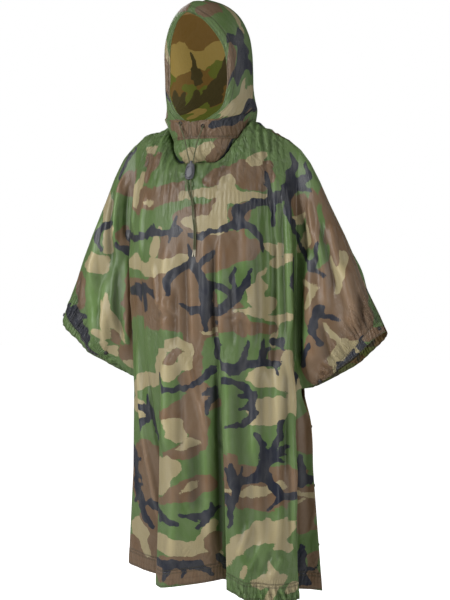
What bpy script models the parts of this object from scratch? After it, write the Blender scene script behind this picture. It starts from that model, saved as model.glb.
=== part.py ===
"""Hooded rain poncho in the hollow form that it takes when it is worn, with its arm flaps hanging at the sides.

Metres, +Z up, front towards -Y, wearer's left towards +X. The origin lies between the shoulders.
Each cloth piece is a grid that a function lays on the garment's form, then a wall from Solidify.
Across a panel, u runs from 0 at its middle to 1 at the arm flap's root and 2 at the cuff edge.
Down a panel, v runs from 0 at the neck and arm top to 1 at the chest, 2 at the underarm and 3 at the hem.
"""

import math
from collections import namedtuple

import bmesh
import bpy
from mathutils import Matrix, Vector

# Walls and clearances
WALL = 0.0012
HEM_WALL = 0.0024
GAP = 0.0003
SEAT = 0.0013
SEAM_Y = 0.0009
SEAM_X = 0.0006
STRIP_GAP = 0.0009

# Driving sizes
NECK_WIDTH, NECK_DEPTH = 0.105, 0.088
NECK_FRONT_Z, NECK_SIDE_Z, NECK_BACK_Z = -0.046, 0.055, 0.059
NECK_INSET = 0.001
NECK_RISE_START, NECK_RISE_SPAN = 25.0, 65.0
CHEST_Z, UNDERARM_Z = -0.28, -0.585
SHOULDER_X = 0.228
ROOT_ANGLE = math.radians(84)
CUFF_TOP = Vector((0.455, 0, -0.448))
CUFF_LOW = Vector((0.268, 0, -0.583))
CUFF_BULGE = 0.011
CUFF_CHEST = 0.42
CUFF_THICKNESS = 0.050
CUFF_CLOSED = 0.004
SIDE_FLAP = 0.028
HEM_HEIGHT = 0.037

# Grid of a panel: columns on each half of the body and on each flap, rows down each stretch
BODY_COLUMNS, FLAP_COLUMNS, SIDE_COLUMNS = 18, 9, 3
YOKE_ROWS, ARM_ROWS, SKIRT_ROWS = 6, 6, 6

ArmTop = namedtuple("ArmTop", "x z")
ARM_TOP = [
    ArmTop(0.105, 0.055),
    ArmTop(0.150, 0.030),
    ArmTop(0.200, 0.008),
    ArmTop(0.235, -0.018),
    ArmTop(0.262, -0.050),
    ArmTop(0.288, -0.095),
    ArmTop(0.312, -0.145),
    ArmTop(0.352, -0.220),
    ArmTop(0.384, -0.290),
    ArmTop(0.405, -0.345),
    ArmTop(0.438, -0.410),
    ArmTop(0.455, -0.448),
]

# Level sections of the body: half width, depth to the front and to the back, shift of the middle
Section = namedtuple("Section", "z half_width front back shift")
SECTIONS = [
    Section(-0.28, 0.227, 0.138, 0.125, 0.004),
    Section(-0.45, 0.220, 0.137, 0.122, 0.008),
    Section(-0.60, 0.217, 0.137, 0.126, 0.011),
    Section(-0.80, 0.226, 0.142, 0.144, 0.018),
    Section(-1.10, 0.248, 0.150, 0.160, 0.022),
]

# Folds of the body. lean 0 is a soft fold, and 1 or -1 a knife fold that is steep on its +u or -u side
Fold = namedtuple("Fold", "u_top u_low z_top z_full z_low width_top width_low depth lean")
FRONT_FOLDS = [
    Fold(0.24, 0.205, -0.12, -1.10, -1.20, 0.20, 0.50, -0.085, 1),
    Fold(-0.32, -0.38, -0.34, -1.10, -1.20, 0.20, 0.60, -0.080, 1),
    Fold(0.92, 0.86, -0.55, -1.10, -1.20, 0.20, 0.55, -0.060, -1),
    Fold(0.60, 0.62, -0.50, -1.10, -1.20, 0.30, 0.32, 0.026, 0),
    Fold(-0.22, -0.20, -0.20, -0.80, -1.20, 0.10, 0.16, 0.010, 0),
    Fold(0.38, 0.40, -0.16, -0.60, -1.20, 0.11, 0.12, 0.008, 0),
    Fold(0.49, 0.49, -0.30, -0.70, -1.20, 0.10, 0.11, -0.010, 0),
    Fold(0.67, 0.70, 0.02, -0.20, -0.50, 0.12, 0.13, -0.018, 0),
    Fold(0.82, 0.84, -0.06, -0.25, -0.60, 0.11, 0.12, 0.012, 0),
    Fold(-0.62, -0.58, -0.05, -0.25, -0.55, 0.10, 0.12, -0.010, 0),
    Fold(-0.05, 0.02, -0.10, -0.25, -0.60, 0.10, 0.14, -0.007, 0),
    Fold(0.88, 0.86, -0.03, -0.30, -1.20, 0.16, 0.16, 0.012, 0),
    Fold(-0.88, -0.86, -0.03, -0.30, -1.20, 0.16, 0.16, 0.012, 0),
]
BACK_FOLDS = [
    Fold(-0.30, -0.34, -0.14, -1.10, -1.20, 0.20, 0.42, -0.062, 1),
    Fold(0.34, 0.38, -0.20, -1.10, -1.20, 0.20, 0.46, -0.070, -1),
    Fold(0.02, 0.04, -0.08, -0.80, -1.20, 0.16, 0.20, 0.018, 0),
    Fold(0.20, 0.21, -0.15, -0.60, -1.20, 0.10, 0.11, -0.012, 0),
    Fold(-0.14, -0.13, -0.30, -0.75, -1.20, 0.09, 0.12, -0.011, 0),
    Fold(-0.58, -0.60, -0.04, -0.50, -1.20, 0.14, 0.18, 0.020, 0),
    Fold(0.66, 0.64, -0.04, -0.45, -1.20, 0.14, 0.18, 0.018, 0),
    Fold(-0.78, -0.74, -0.10, -0.55, -1.20, 0.09, 0.12, -0.014, 0),
    Fold(0.82, 0.80, -0.45, -1.10, -1.20, 0.12, 0.20, -0.030, 0),
    Fold(0.88, 0.90, -0.03, -0.30, -0.70, 0.16, 0.16, 0.012, 0),
    Fold(-0.90, -0.90, -0.03, -0.30, -0.70, 0.16, 0.16, 0.012, 0),
]
STEEP_SIDE = 0.12
KNIFE_POWER = 1.6
GROWTH_POWER = 1.4
FADE_OUT = 0.08

# Folds of an arm flap, fanning from the shoulder: reach is how far down the cuff edge a fold ends
FlapFold = namedtuple("FlapFold", "face side reach width depth start")
FLAP_FOLDS = [
    FlapFold(-1, 1, 0.34, 0.24, -0.016, 0.05),
    FlapFold(-1, 1, 0.76, 0.22, -0.018, 0.15),
    FlapFold(-1, -1, 0.38, 0.24, -0.018, 0.05),
    FlapFold(-1, -1, 0.80, 0.20, -0.016, 0.20),
    FlapFold(1, 1, 0.32, 0.24, -0.016, 0.05),
    FlapFold(1, 1, 0.72, 0.22, -0.016, 0.20),
    FlapFold(1, -1, 0.40, 0.24, -0.016, 0.05),
    FlapFold(1, -1, 0.80, 0.20, -0.018, 0.10),
]
FAN_POWER = 0.2
# The gathered cuff strip takes the last share of the flap, and the side edge the first
CUFF_SHARE = 0.055
SIDE_SHARE = SIDE_COLUMNS / FLAP_COLUMNS * (1 - CUFF_SHARE)
SIDE_CLOSING = 0.6
SIDE_LIFT = {1: Vector((0, 0, 0.004)), -1: Vector((-0.003, 0, 0.022))}
SIDE_SWELL = {1: -0.004, -1: 0.012}
SHOULDER_RISE = {1: 0.0, -1: 0.026}

# Gathers: waves across a strip, their height, and how they lean
NECK_GATHERS, NECK_GATHER_HEIGHT, NECK_GATHER_REACH = 9, 0.0022, 0.42
CUFF_GATHERS, CUFF_GATHER_HEIGHT = 13, 0.0030
HEM_GATHERS, HEM_GATHER_HEIGHT, HEM_GATHER_LEAN = 26, 0.0034, 0.016
HEM_GATHER_CENTRE = {-1: 0.58, 1: -0.10}
HEM_STRIP_COLUMNS, CUFF_STRIP_COLUMNS, CUFF_STRIP_ROWS = 104, 26, 2

# Hem levels across each panel
HemLevel = namedtuple("HemLevel", "u z")
FRONT_HEM = [
    HemLevel(-1.0, -1.030),
    HemLevel(-0.42, -1.054),
    HemLevel(-0.24, -1.063),
    HemLevel(0.16, -1.040),
    HemLevel(0.26, -1.050),
    HemLevel(0.40, -1.070),
    HemLevel(0.75, -1.072),
    HemLevel(1.0, -1.058),
]
BACK_HEM = [
    HemLevel(-1.0, -1.030),
    HemLevel(-0.4, -1.060),
    HemLevel(0.0, -1.066),
    HemLevel(0.5, -1.058),
    HemLevel(1.0, -1.058),
]

# Slanting sections of the hood, from its lower edge to the crown seam
HoodSection = namedtuple("HoodSection", "front_x front_y front_z side_x side_y side_z back_y back_z puff")
HOOD_SECTIONS = [
    HoodSection(0.000, -0.094, 0.012, 0.104, 0.000, 0.0563, 0.087, 0.0603, 0.000),
    HoodSection(0.000, -0.097, 0.050, 0.112, -0.008, 0.072, 0.097, 0.074, 0.004),
    HoodSection(0.022, -0.0955, 0.0535, 0.113, -0.012, 0.082, 0.100, 0.085, 0.008),
    HoodSection(0.0396, -0.088, 0.064, 0.112, -0.015, 0.090, 0.102, 0.096, 0.012),
    HoodSection(0.0637, -0.0785, 0.0846, 0.106, -0.018, 0.112, 0.104, 0.122, 0.016),
    HoodSection(0.0778, -0.078, 0.1206, 0.103, -0.020, 0.140, 0.105, 0.150, 0.017),
    HoodSection(0.079, -0.072, 0.161, 0.104, -0.020, 0.175, 0.104, 0.187, 0.018),
    HoodSection(0.0755, -0.077, 0.217, 0.104, -0.020, 0.225, 0.098, 0.237, 0.018),
    HoodSection(0.0625, -0.090, 0.2527, 0.098, -0.020, 0.266, 0.083, 0.284, 0.014),
    HoodSection(0.039, -0.106, 0.286, 0.080, -0.025, 0.308, 0.050, 0.325, 0.008),
    HoodSection(0.017, -0.118, 0.302, 0.049, -0.045, 0.334, 0.005, 0.348, 0.003),
    HoodSection(0.000, -0.1235, 0.309, 0.000, -0.078, 0.343, -0.034, 0.353, 0.000),
]
HOOD_FRONT_COLUMNS, HOOD_BACK_COLUMNS, HOOD_ROWS = 7, 8, 11
HOOD_SWELL = {1: -0.004, -1: 0.001}
COLLAR_SWELL = {1: -0.006, -1: 0.015}
HOOD_LEAN = -0.005
CHIN_SEAM_X = -0.012
CHIN_SHARE = 1 / 11
THROAT_ANGLE = 59.0
THROAT_BULGE = 0.09
THROAT_COLUMNS, THROAT_ROWS = 24, 4
# The drawcord casing inside the rim: where its inner edge lies for a place v of the rim
Casing = namedtuple("Casing", "v inner_u inner_v gap")
CASING = [
    Casing(1 / 11, 0.010, 0.040, 0.0016),
    Casing(2 / 11, 0.055, 0.055, 0.0026),
    Casing(3 / 11, 0.100, 0.110, 0.0036),
    Casing(4 / 11, 0.110, 0.340, 0.0036),
    Casing(5 / 11, 0.110, 5 / 11, 0.0016),
    Casing(8 / 11, 0.120, 8 / 11, 0.0016),
    Casing(9 / 11, 0.120, 9 / 11, 0.0028),
    Casing(10 / 11, 0.140, 10 / 11, 0.0028),
    Casing(1, 0.270, 1.000, 0.0028),
]
CASING_WALL = 0.0010
CASING_ROWS = 2
CASING_END = 0.008

# Fittings: the snaps' places down a cuff edge and a side edge
CUFF_SNAPS = {1: ((1.9725, 0.22), (1.9725, 1.76)), -1: ((1.9725, 0.25), (1.838, 1.50))}
SIDE_SNAPS = (2.2, 2.52, 2.84)
SNAP_RADIUS, SNAP_HEIGHT, SNAP_SIDES = 0.005, 0.0026, 12
SNAP_SEAT = 0.0011
SIDE_SNAP_OUT = 0.84
# Where the hood cord leaves the hood, as u and v of each hood half
EYELETS = {1: (0.098, 0.062), -1: (0.078, 0.088)}
EYELET_RADIUS, EYELET_TUBE, EYELET_POINTS = 0.0040, 0.0008, 14

# The cord lock: sections along its long axis, from its lower end to the top of its button
LockSection = namedtuple("LockSection", "height half_width half_depth")
LOCK_SECTIONS = [
    LockSection(-0.0200, 0.0060, 0.0030),
    LockSection(-0.0172, 0.0098, 0.0041),
    LockSection(-0.0080, 0.0130, 0.0046),
    LockSection(0.0040, 0.0125, 0.0046),
    LockSection(0.0140, 0.0105, 0.0043),
    LockSection(0.0190, 0.0086, 0.0038),
    LockSection(0.0192, 0.0034, 0.0028),
    LockSection(0.0260, 0.0031, 0.0025),
]
LOCK_SIDES, LOCK_POWER = 20, 2.6
LOCK_CENTRE = Vector((0.0, -0.1176, -0.068))
LOCK_TILT = math.radians(-14)
LOCK_BORE_X, LOCK_BORE_RADIUS, LOCK_BORE_SIDES = 0.0058, 0.0021, 12

# The cord's two ends run from the eyelets through the lock and the knot to the free tails
CORD_RADIUS, CORD_SPACING = 0.0014, 0.0075
CORD_ROUTES = {
    "left": [
        (0.0246, -0.0979, 0.0402),
        (0.0250, -0.1003, 0.0382),
        (0.0238, -0.1010, 0.0330),
        (0.0131, -0.1046, 0.0045),
        (0.0078, -0.1092, -0.0250),
        (0.0058, -0.1125, -0.0476),
        (0.0058, -0.1227, -0.0884),
        (0.0110, -0.1284, -0.1200),
        (0.0146, -0.1304, -0.1340),
        (0.0192, -0.1342, -0.1460),
        (0.0194, -0.1344, -0.1500),
        (0.0229, -0.1354, -0.1790),
        (0.0276, -0.1374, -0.2113),
        (0.0268, -0.1385, -0.2570),
        (0.0258, -0.1385, -0.2700),
    ],
    "right": [
        (-0.0396, -0.0962, 0.0496),
        (-0.0402, -0.0988, 0.0476),
        (-0.0382, -0.0998, 0.0424),
        (-0.0240, -0.1046, 0.0132),
        (-0.0120, -0.1092, -0.0250),
        (-0.0058, -0.1125, -0.0476),
        (-0.0058, -0.1227, -0.0884),
        (0.0040, -0.1284, -0.1200),
        (0.0106, -0.1304, -0.1340),
        (0.0158, -0.1342, -0.1460),
        (0.0160, -0.1344, -0.1500),
        (0.0187, -0.1354, -0.1790),
        (0.0234, -0.1374, -0.2113),
        (0.0224, -0.1385, -0.2570),
        (0.0190, -0.1382, -0.2700),
    ],
}
KNOT_CENTRE = Vector((0.0176, -0.1343, -0.148))
KNOT_HALF_WIDTH, KNOT_HALF_DEPTH, KNOT_TUBE, KNOT_POINTS = 0.0048, 0.0031, 0.0012, 16


def smooth(t):
    """0 below 0, 1 above 1, and a smooth rise between."""
    t = min(1.0, max(0.0, t))
    return t * t * (3 - 2 * t)


def mix(low, high, t):
    return low + (high - low) * t


def table_value(rows, key, column, at):
    """A column of a table read at a place between its rows, in straight steps."""
    rising = getattr(rows[-1], key) > getattr(rows[0], key)
    for low, high in zip(rows, rows[1:]):
        start, end = getattr(low, key), getattr(high, key)
        if (at <= end) if rising else (at >= end):
            t = min(1.0, max(0.0, (at - start) / (end - start)))
            return mix(getattr(low, column), getattr(high, column), t)
    return getattr(rows[-1], column)


def curve_value(values, at):
    """A smooth curve through evenly spaced values, read at a place from 0 to 1."""
    place = min(len(values) - 1.0001, max(0.0, at * (len(values) - 1)))
    i, t = int(place), place - int(place)
    before, low, high = values[max(0, i - 1)], values[i], values[i + 1]
    after = values[min(len(values) - 1, i + 2)]
    return 0.5 * (
        2 * low
        + (high - before) * t
        + (2 * before - 5 * low + 4 * high - after) * t * t
        + (3 * low - before - 3 * high + after) * t ** 3
    )


def smooth_route(points, spacing):
    """Points about a spacing apart on a smooth curve that passes through a route's points."""
    points = [Vector(point) for point in points]
    route = []
    for i, (start, end) in enumerate(zip(points, points[1:])):
        steps = max(1, round((end - start).length / spacing))
        for k in range(steps):
            at = (i + k / steps) / (len(points) - 1)
            route.append(Vector([curve_value([point[axis] for point in points], at) for axis in range(3)]))
    return route + [points[-1]]


def neck_z(degrees):
    """Height of the neck seam at an angle from the middle front."""
    rise = smooth((abs(degrees) - NECK_RISE_START) / NECK_RISE_SPAN)
    return mix(NECK_FRONT_Z, NECK_SIDE_Z, rise)


def top_line(face, u):
    """The panel's top edge: round the neck, along the shoulder, down the arm top."""
    side, reach = (1 if u > 0 else -1), abs(u)
    if reach <= 0.5:
        angle = u * math.pi
        height = neck_z(math.degrees(angle)) if face < 0 else mix(NECK_SIDE_Z, NECK_BACK_Z, math.cos(angle))
        return Vector((NECK_WIDTH * math.sin(angle), face * (SEAM_Y + NECK_DEPTH * math.cos(angle)), height))
    if reach <= 1:
        x = mix(NECK_WIDTH, SHOULDER_X, 2 * reach - 1)
    else:
        x = mix(SHOULDER_X, CUFF_TOP.x, reach - 1)
    rise = SHOULDER_RISE[side] * smooth((reach - 0.5) / 0.4) * (1 - smooth((reach - 1.1) / 0.5))
    return Vector((side * x, face * SEAM_Y, table_value(ARM_TOP, "x", "z", x) + rise))


def hem_z(face, u):
    return table_value(FRONT_HEM if face < 0 else BACK_HEM, "u", "z", u)


def section_point(face, u, z):
    """A point of the body's plain level section, and its outward direction."""
    half_width = table_value(SECTIONS, "z", "half_width", z)
    depth = table_value(SECTIONS, "z", "front" if face < 0 else "back", z)
    angle = u * ROOT_ANGLE
    point = Vector((half_width * math.sin(angle), face * depth * math.cos(angle), z))
    point.x += table_value(SECTIONS, "z", "shift", z)
    outward = Vector((depth * math.sin(angle), face * half_width * math.cos(angle), 0)).normalized()
    return point, outward


def fold_profile(d, lean):
    """Height of a fold at d widths from its line, from 0 to 1."""
    if lean == 0:
        return math.cos(d * math.pi / 2) ** 2 if abs(d) < 1 else 0.0
    d *= lean
    if d <= 0:
        return (1 + d) ** KNIFE_POWER if d > -1 else 0.0
    return 1 - smooth(d / STEEP_SIDE)


def fold_height(fold, u, z):
    down = min(1.0, max(0.0, (fold.z_top - z) / (fold.z_top - fold.z_low)))
    line = mix(fold.u_top, fold.u_low, down)
    width = mix(fold.width_top, fold.width_low, down)
    growth = min(1.0, max(0.0, (fold.z_top - z) / (fold.z_top - fold.z_full))) ** GROWTH_POWER
    fade = 1 - smooth((fold.z_low - z) / FADE_OUT)
    return fold.depth * growth * fade * fold_profile((u - line) / width, fold.lean)


def body_relief(face, u, z):
    """How far the folds move the cloth outwards."""
    return sum(fold_height(fold, u, z) for fold in (FRONT_FOLDS if face < 0 else BACK_FOLDS))


def neck_gather(u, v):
    """Fine gathers that fan out below the neck seam."""
    fade = smooth(v / 0.06) * (1 - smooth(v / NECK_GATHER_REACH)) * (1 - smooth((abs(u) - 0.42) / 0.12))
    return NECK_GATHER_HEIGHT * fade * math.sin(2 * math.pi * NECK_GATHERS * u)


def body_point(face, u, v):
    """A point between the middle of a panel and the flap's root."""
    drop, depth = (1 - math.cos(v * math.pi / 2), math.sin(v * math.pi / 2)) if v < 1 else (1.0, 1.0)
    if v <= 1:
        z = CHEST_Z
    elif v <= 2:
        z = mix(CHEST_Z, UNDERARM_Z, v - 1)
    elif v <= 3:
        z = mix(UNDERARM_Z, hem_z(face, u) + HEM_HEIGHT + STRIP_GAP, v - 2)
    else:
        z = mix(hem_z(face, u) + HEM_HEIGHT, hem_z(face, u), v - 3)
    point, outward = section_point(face, u, z)
    if v < 1:
        top = top_line(face, u)
        point = Vector((mix(top.x, point.x, depth), mix(top.y, point.y, depth), mix(top.z, point.z, drop)))
        outward = Vector((outward.x * depth, outward.y * depth, mix(1, 0, depth) + 0.001)).normalized()
    relief = body_relief(face, u, point.z) * smooth(v / 0.4) + neck_gather(u, v)
    return point + outward * relief


def cuff_line(side, reach):
    """A point of the cuff edge, from its top corner at 0 to its lower corner at 1."""
    along = CUFF_LOW - CUFF_TOP
    outward = Vector((-along.z, 0, along.x)).normalized()
    return CUFF_TOP + SIDE_LIFT[side] + along * reach + outward * CUFF_BULGE * math.sin(math.pi * reach)


def flap_relief(face, side, q, reach):
    total = 0.0
    for fold in FLAP_FOLDS:
        if fold.face == face and fold.side == side:
            line = fold.reach * max(q, 0.001) ** FAN_POWER
            width = fold.width * mix(0.6, 1.2, q)
            total += fold.depth * smooth((q - fold.start) / 0.4) * fold_profile((reach - line) / width, 0)
    return total


def flap_point(face, u, v):
    """A point of an arm flap, between its root and the cuff edge."""
    side = 1 if u > 0 else -1
    q = abs(u) - 1
    if v < 1:
        drop, depth = 1 - math.cos(v * math.pi / 2), math.sin(v * math.pi / 2)
        reach = CUFF_CHEST * drop
    else:
        depth = 1.0
        reach = mix(CUFF_CHEST, 1, v - 1)
    root = body_point(face, side, v)
    root.x *= side
    cuff = cuff_line(side, reach)
    chord = Vector((mix(root.x, cuff.x, q), 0, mix(root.z, cuff.z, q)))
    arm = top_line(face, u)
    start, end = top_line(face, side), top_line(face, 2 * side)
    rise = arm.z - mix(start.z, end.z, q)
    fade = max(0.0, 1 - v / 1.3) ** 2
    chord.z += rise * fade
    chord.x += SIDE_SWELL[side] * math.sin(math.pi * q) * fade
    closing = 1 - max(0.0, v - 1) ** 1.5
    thickness = mix(CUFF_CLOSED, CUFF_THICKNESS, closing) * depth
    puff = thickness + flap_relief(face, side, q, reach) * depth * closing
    y = mix(abs(root.y), max(puff, CUFF_CLOSED * depth + SEAM_Y), smooth(q / 0.4))
    return Vector((side * chord.x, face * y, chord.z))


def side_point(face, u, v):
    """A point of the snapped side edge below the underarm, where front and back lie on each other."""
    side = 1 if u > 0 else -1
    out = (abs(u) - 1) / SIDE_SHARE
    root = body_point(face, side, v)
    wall = WALL if v < 3 else HEM_WALL
    closed = face * mix(abs(root.y), (wall + STRIP_GAP) / 2, smooth(out / SIDE_CLOSING)) - root.y
    width = SIDE_FLAP + max(abs(body_point(other, side, v).x) for other in (-1, 1)) - abs(root.x)
    step = Vector((side * width * out, closed, 0))
    start = flap_point(face, u, 2) - body_point(face, side, 2)
    return root + start.lerp(step, smooth((v - 2) / 0.2))


def panel_point(face, u, v):
    if abs(u) <= 1:
        return body_point(face, u, v)
    if v <= 2:
        return flap_point(face, u, v)
    return side_point(face, u, v)


def surface_normal(place, u, v, step=0.004):
    """Unit normal of a surface given as a function of u and v."""
    across = place(u + step, v) - place(u - step, v)
    down = place(u, v + step) - place(u, v - step)
    return across.cross(down).normalized()


# Blender helpers


def clear_scene():
    for obj in list(bpy.data.objects):
        bpy.data.objects.remove(obj, do_unlink=True)


def new_collection(name):
    collection = bpy.data.collections.new(name)
    bpy.context.scene.collection.children.link(collection)
    return collection


def new_material(name, colour, roughness, metallic=0.0):
    material = bpy.data.materials.new(name)
    material.use_nodes = True
    shader = material.node_tree.nodes["Principled BSDF"]
    shader.inputs["Base Color"].default_value = (*colour, 1)
    shader.inputs["Roughness"].default_value = roughness
    shader.inputs["Metallic"].default_value = metallic
    return material


def add_object(name, data, material, collection):
    obj = bpy.data.objects.new(name, data)
    collection.objects.link(obj)
    data.materials.append(material)
    return obj


def add_mesh(name, bm, material, collection, wall=None):
    """Makes an object of a bmesh, with a wall of the given thickness round an open surface."""
    mesh = bpy.data.meshes.new(name)
    bm.to_mesh(mesh)
    bm.free()
    obj = add_object(name, mesh, material, collection)
    if wall:
        solidify = obj.modifiers.new("wall", "SOLIDIFY")
        solidify.thickness = wall
        solidify.offset = 0
    return obj


def grid(columns, rows, place, keep=None):
    """A grid whose point at column i and row j is place(i, j). keep(i, j) says which cells stay."""
    bm = bmesh.new()
    bmesh.ops.create_grid(bm, x_segments=columns, y_segments=rows, size=0.5)
    doomed = []
    if keep:
        for face in bm.faces:
            centre = face.calc_center_median()
            if not keep((centre.x + 0.5) * columns, (centre.y + 0.5) * rows):
                doomed.append(face)
    bmesh.ops.delete(bm, geom=doomed, context="FACES")
    for vertex in bm.verts:
        i, j = round((vertex.co.x + 0.5) * columns), round((vertex.co.y + 0.5) * rows)
        vertex.co = place(i, j)
    return bm


def close_and_turn(bm, outside):
    """Makes the faces of an open surface point the way that outside(centre) says."""
    bmesh.ops.recalc_face_normals(bm, faces=bm.faces)
    bm.normal_update()
    facing = sum(face.normal.dot(outside(face.calc_center_median())) for face in bm.faces)
    if facing < 0:
        bmesh.ops.reverse_faces(bm, faces=bm.faces)


# Panels


def panel_u(i):
    """u of a column, counted from the left cuff edge."""
    middle = FLAP_COLUMNS + BODY_COLUMNS
    k = i - middle
    if abs(k) <= BODY_COLUMNS:
        return k / BODY_COLUMNS
    return math.copysign(1 + (abs(k) - BODY_COLUMNS) / FLAP_COLUMNS * (1 - CUFF_SHARE), k)


def panel_v(j):
    if j <= YOKE_ROWS:
        return j / YOKE_ROWS
    if j <= YOKE_ROWS + ARM_ROWS:
        return 1 + (j - YOKE_ROWS) / ARM_ROWS
    return 2 + (j - YOKE_ROWS - ARM_ROWS) / SKIRT_ROWS




def make_panel(name, face, material, collection):
    columns = 2 * (FLAP_COLUMNS + BODY_COLUMNS)
    middle = columns / 2

    def keep(i, j):
        return j < YOKE_ROWS + ARM_ROWS or abs(i - middle) < BODY_COLUMNS + SIDE_COLUMNS

    def place(i, j):
        u, v = panel_u(i), panel_v(j)
        return panel_point(face, u, v)

    bm = grid(columns, YOKE_ROWS + ARM_ROWS + SKIRT_ROWS, place, keep)
    close_and_turn(bm, lambda centre: Vector((0, face, 0)))
    return add_mesh(name, bm, material, collection, WALL)


def make_hem(name, face, material, collection):
    """The gathered strip below a panel, from side edge to side edge, with its strongest gathers over the near fold."""
    middle = HEM_STRIP_COLUMNS / 2

    def place(i, j):
        u = (i - middle) / middle * (1 + SIDE_SHARE)
        fall = j
        near = 1 - smooth((abs(u - HEM_GATHER_CENTRE[face]) - 0.22) / 0.14)
        height = HEM_GATHER_HEIGHT * mix(0.15, 1, near) * smooth((1.02 - abs(u)) / 0.1)
        wave = math.sin(2 * math.pi * HEM_GATHERS * (u + HEM_GATHER_LEAN * fall))
        point = panel_point(face, u, mix(3.0001, 4, fall))
        _, outward = section_point(face, u, point.z)
        return point + outward * height * wave * fall

    bm = grid(HEM_STRIP_COLUMNS, 1, place)
    close_and_turn(bm, lambda centre: Vector((0, face, 0)))
    return add_mesh(name, bm, material, collection, HEM_WALL)


def make_cuff(name, face, side, material, collection):
    def place(i, j):
        along = i / CUFF_STRIP_COLUMNS
        out = j / CUFF_STRIP_ROWS
        v = 0.02 + 1.93 * along
        start = flap_point(face, side * (2 - CUFF_SHARE), v)
        end = flap_point(face, side * 2, v)
        outward = (end - start).normalized()
        point = start.lerp(end, out) + outward * STRIP_GAP * (1 - out)
        wave = math.sin(2 * math.pi * CUFF_GATHERS * along)
        snaps = [(v - 0.02) / 1.93 for _, v in CUFF_SNAPS[side]]
        envelope = min(smooth((abs(along - snap) - 0.04) / 0.06) for snap in (*snaps, 1))
        point.y += face * CUFF_GATHER_HEIGHT * (wave + 1) * 0.5 * out * envelope
        return point

    bm = grid(CUFF_STRIP_COLUMNS, CUFF_STRIP_ROWS, place)
    close_and_turn(bm, lambda centre: Vector((0, face, 0)))
    return add_mesh(name, bm, material, collection, WALL)


# Hood


def collar_z(degrees):
    """Lower edge of the hood: level under the chin, then along the neck seam."""
    return max(HOOD_SECTIONS[0].front_z, neck_z(degrees) + SEAT)


def hood_value(column, v):
    return curve_value([getattr(row, column) for row in HOOD_SECTIONS], v)


def hood_point(side, u, v):
    """u runs from the face opening (0) past the side (0.5) to the centre seam (1), v from the neck to the crown."""
    front_x = hood_value("front_x", v)
    chin = 1 - smooth((v - CHIN_SHARE) / CHIN_SHARE)
    front_x = max(front_x, 0.0) + side * CHIN_SEAM_X * chin + SEAM_X
    front_y, front_z = hood_value("front_y", v), hood_value("front_z", v)
    side_x, side_y, side_z = (hood_value("side_" + axis, v) for axis in "xyz")
    swell = mix(COLLAR_SWELL[side] * smooth(v / 0.1), HOOD_SWELL[side], smooth(v / 0.3))
    side_x = max(side_x + swell * smooth((1 - v) / 0.2), GAP)
    if u <= 0.5:
        start = math.asin(min(0.95, max(-0.95, front_x / side_x)))
        if v > 0.93:
            start = mix(start, 0, smooth((v - 0.93) / 0.07))
        angle = mix(start, math.pi / 2, 2 * u)
        reach = (front_y - side_y) / max(0.2, math.cos(start))
        x = side_x * math.sin(angle)
        y = side_y + reach * math.cos(angle)
        z = mix(front_z, side_z, (1 - math.cos(2 * u * math.pi / 2)) if v < 0.2 else smooth(2 * u))
        y -= hood_value("puff", v) * math.sin(2 * u * math.pi) ** 1.0
        if v <= 0:
            z = collar_z(math.degrees(angle))
    else:
        angle = (2 * u - 1) * math.pi / 2
        x = side_x * math.cos(angle)
        y = side_y + (hood_value("back_y", v) - side_y) * math.sin(angle)
        z = mix(side_z, hood_value("back_z", v), math.sin(angle) if v < 0.05 else smooth(2 * u - 1))
    lean = HOOD_LEAN * smooth((v - 0.25) / 0.45)
    return Vector((side * max(x, SEAM_X if v > 0.2 or u > 0.5 else x) + lean, y, z))


def make_hood_half(name, side, material, collection):
    columns = HOOD_FRONT_COLUMNS + HOOD_BACK_COLUMNS

    def place(i, j):
        u = i / HOOD_FRONT_COLUMNS / 2 if i <= HOOD_FRONT_COLUMNS else 0.5 + (i - HOOD_FRONT_COLUMNS) / HOOD_BACK_COLUMNS / 2
        return hood_point(side, u, j / HOOD_ROWS)

    bm = grid(columns, HOOD_ROWS, place)
    close_and_turn(bm, lambda centre: centre - Vector((0, 0, 0.17)))
    return add_mesh(name, bm, material, collection, WALL)


def make_throat(material, collection):
    """Crescent between the hood's level lower edge and the neck seam."""

    def place(i, j):
        degrees = mix(-THROAT_ANGLE, THROAT_ANGLE, i / THROAT_COLUMNS)
        angle = math.radians(degrees)
        low, high = neck_z(degrees) + SEAT, HOOD_SECTIONS[0].front_z - STRIP_GAP
        t = j / THROAT_ROWS
        swell = 1 + THROAT_BULGE * math.sin(math.pi * t) * smooth((THROAT_ANGLE - abs(degrees)) / 30)
        width = (NECK_WIDTH - NECK_INSET) * swell
        depth = mix(NECK_DEPTH - NECK_INSET, -HOOD_SECTIONS[0].front_y, t) * swell
        return Vector((width * math.sin(angle), -depth * math.cos(angle), mix(low, high, t)))

    bm = grid(THROAT_COLUMNS, THROAT_ROWS, place)
    close_and_turn(bm, lambda centre: Vector((0, -1, 0)))
    return add_mesh("throat", bm, material, collection, WALL)


def raised(place, u, v, height, outside, step=0.004):
    """A point moved off a surface by a height, and the direction it moved in, which outside points to."""
    normal = surface_normal(place, u, v, step)
    if normal.dot(outside) < 0:
        normal = -normal
    return place(u, v) + normal * height, normal


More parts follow.
